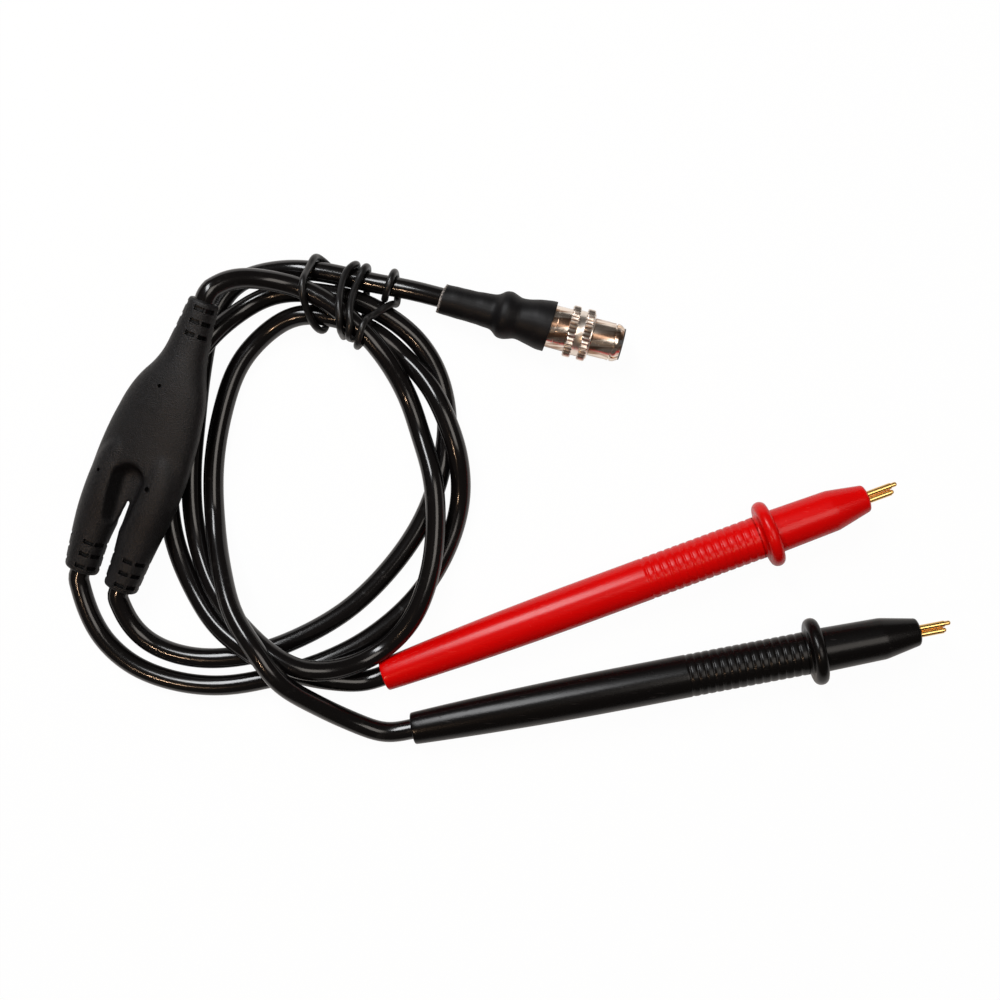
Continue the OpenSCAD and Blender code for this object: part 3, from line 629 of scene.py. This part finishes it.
def grip_r(x):
    """The grip's radius: full round ribs parted by narrow grooves."""
    first = GRIP_START - RIB_PITCH / 2
    last = GRIP_START + (RIB_COUNT - 0.5) * RIB_PITCH
    if not first < x < last:
        return GRIP_D / 2
    phase = 2 * math.pi * (x - GRIP_START) / RIB_PITCH
    return GRIP_D / 2 - RIB_DEPTH * 0.5 * (0.5 + 0.5 * math.cos(phase)) ** 3.2


def handle_profile():
    bore = LEAD_D / 2 + 0.2
    rear = rounded([(9, bore), (0, bore, 0.35), (0, REAR_D / 2 - 0.05, 0.5),
                    (1.4, swell_r(1.4))], 0.3)
    swell = [Vector((x, swell_r(x))) for x in [2 + 2 * k for k in range(35)]]
    grip = [Vector((x / 14, grip_r(x / 14))) for x in range(14 * 73, 14 * 106)]
    r, t, middle = GUARD_D / 2, 1.75, GUARD_X - 0.25
    rim = [Vector((middle + t * math.sin(a), r - t * 0.8 * (1 - math.cos(a))))
           for a in [math.radians(-84 + 8 * k) for k in range(22)]]
    foot = rounded([(105.6, GRIP_D / 2), (middle - t - 0.4, GRIP_D / 2, 0.9),
                    (middle - t, GRIP_D / 2 + 0.8, 0.5), (middle - t, r - t * 0.8 - 0.2, 0.2)], 0.8)
    front = rounded([(middle + t, r - t * 0.8 - 0.2, 0.3), (middle + t, NOSE_D / 2 + 0.9, 0.5),
                     (middle + t - 0.1, NOSE_D / 2 + 0.05, 0.3), (GUARD_FRONT - 3, 4.45)], 0.25)
    return rear + swell + grip + foot + rim + front


def nose_profile():
    kink = NOSE_END - NOSE_TAPER
    return rounded([
        (GUARD_FRONT - 3, 4.4), (GUARD_FRONT - 0.3, 4.4, 0),
        (GUARD_FRONT - 0.22, NOSE_D / 2 - 0.05, 0.25), (GUARD_FRONT + 0.5, NOSE_D / 2, 0.4),
        (kink, NOSE_MID_D / 2, 0.8), (NOSE_END - NOSE_ROUND * 0.5, NOSE_TIP_D / 2 - 0.05, 1.1),
        (NOSE_END - 0.15, NOSE_FACE_D / 2, 0.7), (NOSE_END - 0.15, NOSE_HOLE_D / 2, 0.12),
        (NOSE_END - 3, NOSE_HOLE_D / 2 - 0.05),
    ], 0.4, 7)


def pin_profile(front):
    """The part of a pin's barrel that shows: its rim is rolled in over the plunger."""
    return rounded([
        (BARREL_FRONT - 12, 0.2, 0), (BARREL_FRONT - 12, BARREL_D / 2, 0.1),
        (NOSE_END - 1, BARREL_D / 2, 0.1), (NOSE_END - 0.8, BARREL_D / 2 + 0.06, 0.1),
        (front - 0.05, BARREL_D / 2 + 0.06, 0.24), (front, PLUNGER_D / 2 + 0.03, 0.05),
        (front - 1.2, PLUNGER_D / 2 + 0.03),
    ], 0.1, 6)


def plunger_profile(tip):
    r = PLUNGER_D / 2
    dome = [Vector((tip - r * 0.8 + r * 0.8 * math.sin(a), r * math.cos(a) * 0.98))
            for a in [math.radians(8 * k) for k in range(12)]]
    rear = tip - PLUNGER_LENGTH
    return rounded([(rear, 0.02, 0), (rear, r, 0.1),
                    (tip - r * 0.8 - 0.1, r)], 0.1) + dome


def coil_spring(name, place, node, ends, radius, wire, turns, joint, travel):
    """A wound spring between two points along local X."""
    rear, front = ends
    steps, sides = turns * 18, 7
    vertices, faces = [], []
    for i in range(steps + 1):
        a = 2 * math.pi * i / 18
        x = rear + wire / 2 + (front - rear - wire) * i / steps
        for k in range(sides):
            b = 2 * math.pi * k / sides
            r = radius - wire / 2 + wire / 2 * math.cos(b)
            vertices.append(at(place, x + wire / 2 * math.sin(b), r * math.cos(a), r * math.sin(a)))
    for i in range(steps):
        for k in range(sides):
            n = (k + 1) % sides
            faces.append((i * sides + k, i * sides + n, (i + 1) * sides + n, (i + 1) * sides + k))
    spring = mesh_object(name, vertices, faces, SPRING_STEEL, sharp=80)
    belongs(spring, "set", "spring_steel", node)
    way = place.to_3x3() @ Vector((1, 0, 0))
    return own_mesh(spring, joint, axis=tuple(way), anchor=tuple(at(place, rear)),
                     keep=1 - travel / (front - rear))


def pen(colour, place, finish):
    """One probe: handle, nose, two barrels and their plungers."""
    handle = turned(f"{colour}_grip_handle", place, handle_profile(), finish, sides=112)
    belongs(handle, "set", f"{colour}_abs", f"{colour}_handle")
    nose = turned(f"{colour}_nose_cone", place, nose_profile(), finish, sides=96, sharp=28)
    belongs(nose, "set", f"{colour}_abs", f"{colour}_nose")
    barrels = []
    for which, side, back, out, travel in (("upper", 1, 0, 1.6, 1), ("lower", -1, 0.5, 0.7, 0.6)):
        axis = place @ Matrix.Translation((0, side * PIN_PITCH / 2 * MM, 0))
        front = BARREL_FRONT - back
        barrels.append(turned(f"{colour}_{which}_barrel", axis, pin_profile(front), GILT,
                              sides=48))
        tip = turned(f"{colour}_{which}_tip", axis, plunger_profile(front + out), GILT, sides=48)
        belongs(tip, f"{colour}_{which}_pin", "gilt", f"{colour}_{which}_plunger")
        coil_spring(f"{colour}_{which}_coil", axis, f"{colour}_{which}_spring",
                    (BARREL_REAR + BARREL_FLOOR, front + out - PLUNGER_LENGTH),
                    BARREL_BORE / 2 - 0.1, 0.16, 30, f"{colour}_{which}_plunger_slide", travel)
    for barrel in barrels:
        belongs(barrel, "set", "gilt", f"{colour}_barrels")
    keep_solid(f"{colour}_pin_block", PIN_BLOCK)
    keep_solid(f"{colour}_cores", RED_CORE if colour == "red" else BLACK_CORE)
    keep_solid(f"{colour}_lead_clamp", CLAMP_STEEL)


pen("red", RED_PEN, RED_ABS)
pen("black", BLACK_PEN, BLACK_ABS)


# ---------------------------------------------------------------- splitter

def smooth_table(rows, x):
    """Values between the rows of a table, eased by a cubic through its neighbours."""
    for i in range(len(rows) - 1):
        if x <= rows[i + 1][0] or i == len(rows) - 2:
            break
    a, b = rows[i], rows[i + 1]
    before, after = rows[max(i - 1, 0)], rows[min(i + 2, len(rows) - 1)]
    span = b[0] - a[0]
    t = (x - a[0]) / span
    out = []
    for k in range(1, len(a)):
        ma = (b[k] - before[k]) / (b[0] - before[0]) * span
        mb = (after[k] - a[k]) / (after[0] - a[0]) * span
        t2, t3 = t * t, t * t * t
        out.append(a[k] * (2 * t3 - 3 * t2 + 1) + ma * (t3 - 2 * t2 + t)
                   + b[k] * (3 * t2 - 2 * t3) + mb * (t3 - t2))
    return out


BODY_ROWS = [
    (-1.2, 0.15, BODY_HALF_W - 1.2, BODY_T / 2 - 1.6),
    (1, 0.15, BODY_HALF_W - 0.2, BODY_T / 2 - 0.4),
    (5, 0.15, BODY_HALF_W, BODY_T / 2 - 0.1), (11, 0.1, BODY_HALF_W - 0.1, BODY_T / 2),
    (17, 0.1, BODY_HALF_W - 0.6, BODY_T / 2), (21, 0, BODY_HALF_W - 1.1, BODY_T / 2),
    (25, 0, BODY_HALF_W - 1.8, BODY_T / 2), (29, -0.2, BODY_HALF_W - 2.7, BODY_T / 2 - 0.1),
    (32.5, -0.4, BODY_HALF_W - 4, BODY_T / 2 - 0.2),
    (36, -0.6, BODY_HALF_W - 5.7, BODY_T / 2 - 0.4),
    (40, -0.6, 6, 4.6), (45, -0.5, 5.2, 4.3), (50, -0.3, 4.5, 4.1),
    (STEM_LENGTH - 0.4, STEM_V, STEM_W / 2, STEM_W / 2),
    (STEM_LENGTH, STEM_V, STEM_W / 2 - 0.3, STEM_W / 2 - 0.3),
]


def leg_rows(v):
    return [
        (-LEG_LENGTH, v[0], LEG_W / 2 - 0.3, LEG_T / 2 - 0.3),
        (0.4 - LEG_LENGTH, v[0], LEG_W / 2, LEG_T / 2), (-15, v[1], 5.1, LEG_T / 2 + 0.1),
        (-8, v[2], 5.8, LEG_T / 2 + 0.5), (-2, v[3], 6.2, BODY_T / 2),
        (3, v[4], 6.1, BODY_T / 2 + 0.1), (8, v[4] * 0.96, 5.9, BODY_T / 2),
        (13, v[4] * 0.84, 5.2, BODY_T / 2 - 0.3), (19, v[4] * 0.6, 3.6, BODY_T / 2 - 1.4),
    ]


def lofted(name, rows, step, power, finish):
    """A closed skin over rounded outlines, in the splitter's own millimetres."""
    sides = 72
    count = round((rows[-1][0] - rows[0][0]) / step)
    xs = sorted({rows[0][0], rows[1][0], rows[-2][0], rows[-1][0]}
                | {rows[0][0] + (rows[-1][0] - rows[0][0]) * k / count for k in range(count + 1)})
    vertices, faces = [], []
    for x in xs:
        middle, w, t = smooth_table(rows, x)
        for k in range(sides):
            a = 2 * math.pi * (k + 0.5) / sides
            c, s = math.cos(a), math.sin(a)
            vertices.append((x, middle + w * math.copysign(abs(c) ** power, c),
                             t * math.copysign(abs(s) ** power, s)))
    last = len(xs) - 1
    for i in range(last):
        for k in range(sides):
            n = (k + 1) % sides
            faces.append((i * sides + k, i * sides + n, (i + 1) * sides + n, (i + 1) * sides + k))
    faces.append(tuple(range(sides - 1, -1, -1)))
    faces.append(tuple(last * sides + k for k in range(sides)))
    return mesh_object(name, vertices, faces, finish)


def block(name, corners, finish):
    """A box from two corners, as a cutter."""
    (x0, y0, z0), (x1, y1, z1) = corners
    vertices = [(x, y, z) for x in (x0, x1) for y in (y0, y1) for z in (z0, z1)]
    faces = [(0, 1, 3, 2), (4, 6, 7, 5), (0, 4, 5, 1), (2, 3, 7, 6), (0, 2, 6, 4), (1, 5, 7, 3)]
    return mesh_object(name, vertices, faces, finish, smooth=False)


def joined(things):
    """Join meshes into the first one."""
    vertices, faces = [], []
    for thing in things:
        base = len(vertices)
        vertices += [thing.matrix_world @ v.co for v in thing.data.vertices]
        faces += [tuple(i + base for i in p.vertices) for p in thing.data.polygons]
    first = things[0]
    material = first.data.materials[0]
    mesh = bpy.data.meshes.new(first.name)
    mesh.from_pydata([tuple(v) for v in vertices], [], faces)
    mesh.materials.append(material)
    first.data = mesh
    first.matrix_world = Matrix.Identity(4)
    for thing in things[1:]:
        bpy.data.objects.remove(thing)
    return first


def baked(thing):
    """Put the modifiers' result into the mesh."""
    graph = bpy.context.evaluated_depsgraph_get()
    mesh = bpy.data.meshes.new_from_object(thing.evaluated_get(graph))
    thing.modifiers.clear()
    thing.data = mesh
    return thing


def modified(thing, kind, **settings):
    modifier = thing.modifiers.new(kind.lower(), kind)
    for key, value in settings.items():
        setattr(modifier, key, value)
    return baked(thing)


WEB_DEPTH = 4.7


def web_cutter(face):
    """The rounded arch that is sunk over the web between the legs, on one face."""
    shape = []
    sides = 40
    top = face * (BODY_T / 2 + 3)
    floor = face * (BODY_T / 2 - WEB_DEPTH)
    for level, grow in ((floor, -2.2), (floor + face * 0.3, -1.3), (floor + face * 0.9, -0.6),
                        (floor + face * 2.0, -0.1), (floor + face * 3.2, 0.5), (top, 2.6)):
        ring = []
        for k in range(sides):
            a = 2 * math.pi * k / sides
            r = (3.7 if math.cos(a) > 0 else 2.9) + grow
            centre = 4.7 if math.cos(a) > 0 else -6.5
            ring.append((centre + r * math.cos(a), 0.5 + r * math.sin(a), level))
        shape.append(ring)
    if face < 0:
        shape.reverse()
    vertices = [p for ring in shape for p in ring]
    faces = [(i * sides + k, i * sides + (k + 1) % sides, (i + 1) * sides + (k + 1) % sides,
              (i + 1) * sides + k) for i in range(len(shape) - 1) for k in range(sides)]
    faces.append(tuple(range(sides - 1, -1, -1)))
    faces.append(tuple((len(shape) - 1) * sides + k for k in range(sides)))
    return mesh_object("web_cutter", vertices, faces, RUBBER)


POCKET_ROWS, POCKET_ANGLES = 3, (14, 57, 112, 194, 237, 292)
PIN_MARKS = ((4.9, -5.7, 0.75), (4.2, 9, 0.5), (31.1, 1.1, 0.55))
SKIN_VOXEL = 0.3


def pocket_cutters(end, v, way):
    """Short pockets in rows round one end of the splitter."""
    out = []
    for row in range(POCKET_ROWS):
        x = end - way * (2 + row * SLOT_PITCH)
        for a in POCKET_ANGLES:
            box = block("pocket", ((-SLOT_W / 2, -1.35, LEAD_D / 2 + 0.15),
                                   (SLOT_W / 2, 1.25, LEG_W / 2 + 1.2)), RUBBER)
            box.matrix_world = (Matrix.Translation((x, v, 0))
                                @ Matrix.Rotation(math.radians(a), 4, "X"))
            out.append(box)
    bpy.context.view_layer.update()
    return out


def splitter():
    body = lofted("y_splitter_shell", BODY_ROWS, 0.5, 0.94, RUBBER)
    legs = [lofted("leg", leg_rows(v), 0.5, 0.96, RUBBER)
            for v in ((LEG_V[0], 7.1, 7.2, 6.95, 6.9), (LEG_V[1], -6, -6, -6.3, -6.6))]
    shell = joined([body] + legs)
    modified(shell, "REMESH", mode="VOXEL", voxel_size=SKIN_VOXEL)
    for face in (1, -1):
        cutter = web_cutter(face)
        modified(shell, "BOOLEAN", operation="DIFFERENCE", object=cutter, solver="EXACT")
        bpy.data.objects.remove(cutter)
    modified(shell, "REMESH", mode="VOXEL", voxel_size=SKIN_VOXEL)
    modified(shell, "SMOOTH", factor=0.5, iterations=14)
    pockets = joined(pocket_cutters(STEM_LENGTH, STEM_V, 1)
                     + pocket_cutters(-LEG_LENGTH, LEG_V[0], -1)
                     + pocket_cutters(-LEG_LENGTH, LEG_V[1], -1))
    modified(shell, "BOOLEAN", operation="DIFFERENCE", object=pockets, solver="EXACT")
    bpy.data.objects.remove(pockets)
    holes = []
    for x, y, r in PIN_MARKS:
        hole = turned("pin_mark", Matrix.Rotation(math.radians(-90), 4, "Y"),
                      [Vector((0, 0.001)), Vector((0, r)), Vector((6, r)), Vector((6, 0.001))],
                      RUBBER, sides=24)
        # The splitter is cut in millimetres, and turned() works in metres
        for vertex in hole.data.vertices:
            vertex.co /= MM
            vertex.co += Vector((x, y, BODY_T / 2 - 1.6))
        holes.append(hole)
    marks = joined(holes)
    modified(shell, "BOOLEAN", operation="DIFFERENCE", object=marks, solver="EXACT")
    bpy.data.objects.remove(marks)
    shell.data.transform(SPLITTER @ Matrix.Diagonal((MM, MM, MM, 1)))
    shell.data.materials.clear()
    shell.data.materials.append(RUBBER.material)
    shell.data.polygons.foreach_set("use_smooth", [True] * len(shell.data.polygons))
    shell.data.set_sharp_from_angle(angle=math.radians(38))
    return belongs(shell, "set", "splitter", "y_splitter")


y_splitter = splitter()


# ---------------------------------------------------------------- plug

def wobble(x, a, seed, size):
    """A slow, smooth unevenness over a turned skin."""
    return size * (math.sin(x * 0.9 + seed) * math.cos(2 * a + seed * 1.7)
                   + 0.6 * math.sin(x * 0.37 + 3 * a + seed * 2.3)
                   + 0.4 * math.cos(x * 1.7 - a + seed))


def heat_shrink_boot():
    r = LEAD_D / 2
    profile = rounded([
        (1.2, r + 0.12), (0, r + 0.2, 0.1), (-0.1, r + 1.15, 0.25), (4, r + 1.32), (9, r + 1.42),
        (14.6, r + 1.9, 1.2), (16.4, 6.05, 0.9), (18.1, 6.25, 1.2), (19.6, 5.75, 0.9),
        (21, 5.25, 1.2), (22.6, 5.4, 1.2), (26, 6.2, 1.0), (28, 6.55, 0.8),
        (BOOT_END, 6.6, 0.12), (BOOT_END, PLUG_BODY_D / 2 + 0.06, 0.1),
        (27.5, PLUG_BODY_D / 2 + 0.05),
    ], 1.0, 6)
    fine = []
    for a, b in zip(profile, profile[1:]):
        steps = max(1, round((b - a).length / 0.5))
        fine += [a.lerp(b, k / steps) for k in range(steps)]
    fine.append(profile[-1])

    def skin(x, a):
        ragged = 0.12 * math.sin(5 * a + 1) + 0.08 * math.sin(11 * a) if x < 0.6 else 0
        return wobble(x, a, 0.8, 0.045) + ragged * 0.3 - 0.4 * min(0, math.cos(a))

    boot = turned("heat_shrink_boot", PLUG, fine, SHRINK, sides=128, dent=skin, sharp=60)
    inverse = PLUG.inverted()
    rim = boot.data.attributes.new("rim", "FLOAT", "POINT")
    for vertex in boot.data.vertices:
        here = inverse @ vertex.co
        x = here.x / MM
        a = math.atan2(here.z, here.y)
        cut = x < 0.3 and math.hypot(here.y, here.z) > (LEAD_D / 2 + 0.4) * MM
        rim.data[vertex.index].value = 1 if cut else 0
        if x > 24:
            here.x += 0.45 * MM * (x - 24) / 5.8 * math.cos(a - 0.5)
        if x < 6:
            here.x += MM * (6 - x) / 6 * (0.45 * math.cos(a) + 0.1 * math.sin(3 * a + 0.5))
        vertex.co = PLUG @ here
    return belongs(boot, "set", "heat_shrink", "plug_boot")


def plug_shell():
    r = PLUG_BODY_D / 2
    body = turned("plug_rear_body", PLUG, rounded([
        (25, r - 0.2), (27, r - 0.1, 0.2), (31.2, r, 0.1), (31.35, r - 0.07, 0.05), (31.5, r, 0.05),
        (BODY_FRONT, r, 0.2), (BODY_FRONT, 4.9, 0.1), (33, 4.9)], 0.1), NICKEL, sides=160)
    return belongs(body, "set", "nickel", "plug_body")


def tooth(a, count, sharpness):
    phase = (a * count / (2 * math.pi)) % 1
    return (1 - abs(2 * phase - 1)) ** sharpness


def release_sleeve():
    """The sliding sleeve: two straight-knurled rings with a plain groove between them."""
    outer, groove, bore = KNURL_D / 2, PLUG_BODY_D / 2 + 0.35, GUIDE_D / 2 + 0.06
    first, second = SLEEVE_REAR, SLEEVE_REAR + KNURL_W + KNURL_GAP
    points = [(first + 0.3, bore + 1.2), (first + 0.3, groove, 0.1)]
    for start in (first, second):
        points += [(start + 0.02, groove, 0.05), (start, outer - 0.3, 0.05),
                   (start + 0.28, outer, 0.08), (start + KNURL_W / 2, outer, 0),
                   (start + KNURL_W - 0.28, outer, 0.08), (start + KNURL_W, outer - 0.3, 0.05),
                   (start + KNURL_W - 0.02, groove, 0.05)]
    points += [(SLEEVE_FRONT - 0.1, groove, 0.15), (SLEEVE_FRONT, bore + 0.1, 0.1),
               (SLEEVE_FRONT - 2, bore)]

    def knurl(x, a):
        on_ring = any(start + 0.1 < x < start + KNURL_W - 0.1 for start in (first, second))
        return -0.34 * (1 - tooth(a, KNURL_COUNT, 0.9)) if on_ring else 0

    profile = rounded(points, 0.1, 3)
    sides = KNURL_COUNT * 10
    sleeve = turned("knurled_release_sleeve", PLUG, profile, KNURLED, sides=sides, dent=knurl,
                    sharp=28)
    # Painted light share per point: 1 on tooth crests, 0 in the roots, 0.85 off the rings; the
    # metal's colour follows it as painted highlight and painted shade.
    crest = sleeve.data.attributes.new("crest", "FLOAT", "POINT")
    for i, (x, r) in enumerate(profile):
        for k in range(sides):
            height = tooth(2 * math.pi * k / sides, KNURL_COUNT, 0.8) if r > groove + 0.3 else 0.85
            crest.data[i * sides + k].value = height
    return belongs(sleeve, "release_sleeve", "nickel", "plug_release_sleeve")


def latch_barrel():
    """The front barrel: a seam ring, latch windows and a keyway behind a round rim."""
    r = PLUG_BARREL_D / 2
    profile = rounded([
        (SLEEVE_FRONT - 4, GUIDE_D / 2), (SLEEVE_FRONT + 0.1, GUIDE_D / 2, 0.05),
        (SLEEVE_FRONT + 0.12, r, 0.1), (46.6, r, 0), (46.65, r - 0.32, 0), (47, r - 0.32, 0),
        (47.05, r, 0.1), (PLUG_END - 2.1, r, 1.3), (PLUG_END - 0.9, r - 0.75, 0.6),
        (PLUG_END - 0.85, r - 1.05, 0.1), (PLUG_END - 1, r - 1.1, 0.1), (PLUG_END - 3, r - 1.1),
    ], 0.1, 5)
    fine = []
    for a, b in zip(profile, profile[1:]):
        steps = max(1, round((b - a).length / 0.12))
        fine += [a.lerp(b, k / steps) for k in range(steps)]
    fine.append(profile[-1])

    def cuts(x, a):
        angle = math.degrees(a) % 360
        for middle, half, x0, x1 in ((8, 9, 45.0, 46.2), (188, 9, 45.0, 46.2),
                                     (90, 8, 48.0, 60), (35, 4, 46.8, 49.0),
                                     (305, 4, 46.8, 49.0), (150, 4, 46.8, 49.0)):
            off = abs((angle - middle + 180) % 360 - 180)
            if off < half and x0 < x < x1:
                return -0.55 * min(1, (half - off) / 0.8)
        return 0

    barrel = turned("latch_barrel", PLUG, fine, NICKEL, sides=360, dent=cuts, sharp=30)
    return belongs(barrel, "set", "nickel", "plug_barrel")


boot = heat_shrink_boot()
plug_body = plug_shell()
sleeve = release_sleeve()
barrel = latch_barrel()
keep_solid("plug_back_nut", NICKEL)
keep_solid("plug_cable_clamp", CLAMP_STEEL)
sleeve_coil = coil_spring("release_sleeve_coil", PLUG, "plug_sleeve_spring",
                          (BODY_FRONT, BODY_FRONT + 2.4), GUIDE_D / 2 + 0.57, 0.2, 2,
                          "release_sleeve_slide", 2)
keep_solid("plug_insulator", INSERT)
keep_solid("plug_contacts", GILT)
keep_solid("plug_cores", BLACK_CORE)


# ---------------------------------------------------------------- tie

tie_wire, tie_run, tie_length = cable("tie_wire_coat", TIE_ROUTE, TIE_D, TIE_COAT, sides=18,
                                      step=0.45, rounds=4)
belongs(tie_wire, "set", "pvc", "tie_wire")


plug_pieces = [boot, plug_body, sleeve, barrel, sleeve_coil] + [
    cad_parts[node] for node in ("plug_back_nut", "plug_cable_clamp", "plug_insulator",
                                      "plug_contacts", "plug_cores")]
at(BLACK_PEN, 0)
at(SPLITTER, -LEG_LENGTH, LEG_V[1])
at(SPLITTER, STEM_LENGTH, STEM_V)


# ---------------------------------------------------------------- stage

def paper_share(tree, direct, mirrored):
    """How white the surroundings show: to the camera and through glass, and in reflections."""
    rays = tree.nodes.new("ShaderNodeLightPath")
    seen, mirror, through = (Socket(tree, rays.outputs[f"Is {kind} Ray"])
                             for kind in ("Camera", "Glossy", "Transmission"))
    return seen * direct + mirror * mirrored + through * direct


def stage_floor():
    mesh = bpy.data.meshes.new("floor")
    half = 3.0
    mesh.from_pydata([(-half, -half, 0), (half, -half, 0), (half, half, 0), (-half, half, 0)],
                     [], [(0, 1, 2, 3)])
    floor = bpy.data.objects.new("floor", mesh)
    floor.location = (0, 0, -0.00005)
    scene.collection.objects.link(floor)
    material = bpy.data.materials.new("floor_paper")
    material.use_nodes = True
    tree = material.node_tree
    shader = tree.nodes["Principled BSDF"]
    shader.inputs["Base Color"].default_value = (0.86, 0.85, 0.84, 1)
    shader.inputs["Roughness"].default_value = 0.8
    glow = tree.nodes.new("ShaderNodeEmission")
    glow.inputs["Strength"].default_value = 1.0
    blend = tree.nodes.new("ShaderNodeMixShader")
    plug(tree, blend.inputs[0], paper_share(tree, 0.97, 0.23))
    tree.links.new(shader.outputs[0], blend.inputs[1])
    tree.links.new(glow.outputs[0], blend.inputs[2])
    output = [n for n in tree.nodes if n.type == "OUTPUT_MATERIAL"][0]
    tree.links.new(blend.outputs[0], output.inputs[0])
    mesh.materials.append(material)


def area_lamp(name, location, target, size, power, colour=(1, 1, 1)):
    data = bpy.data.lights.new(name, "AREA")
    data.shape = "RECTANGLE"
    data.size, data.size_y = size
    data.energy = power
    data.color = colour
    lamp = bpy.data.objects.new(name, data)
    lamp.location = location
    lamp.rotation_euler = (Vector(target) - Vector(location)).to_track_quat("-Z", "Y").to_euler()
    scene.collection.objects.link(lamp)


stage_floor()
middle = (-0.04, 0.03, 0)
area_lamp("window", (-0.32, 0.5, 0.72), middle, (0.2, 0.5), 6.6, (0.97, 0.98, 1.0))
area_lamp("ceiling", (0.3, 0.08, 1.1), middle, (0.55, 0.55), 3.9, (1.0, 0.93, 0.86))
area_lamp("lamp", (-0.42, -0.36, 0.85), middle, (0.03, 0.03), 1.5, (1.0, 0.66, 0.42))

world = bpy.data.worlds.new("room")
scene.world = world
world.use_nodes = True
room = world.node_tree
backdrop = room.nodes["Background"]
backdrop.inputs[0].default_value = (0.50, 0.44, 0.40, 1)
backdrop.inputs[1].default_value = 0.12
paper = room.nodes.new("ShaderNodeBackground")
paper.inputs[0].default_value = (1, 1, 1, 1)
paper.inputs[1].default_value = 1.0
either = room.nodes.new("ShaderNodeMixShader")
plug(room, either.inputs[0], paper_share(room, 1.0, 0.02))
room.links.new(backdrop.outputs[0], either.inputs[1])
room.links.new(paper.outputs[0], either.inputs[2])
surface = [n for n in room.nodes if n.type == "OUTPUT_WORLD"][0]
room.links.new(either.outputs[0], surface.inputs[0])

scene.view_settings.view_transform = "Standard"
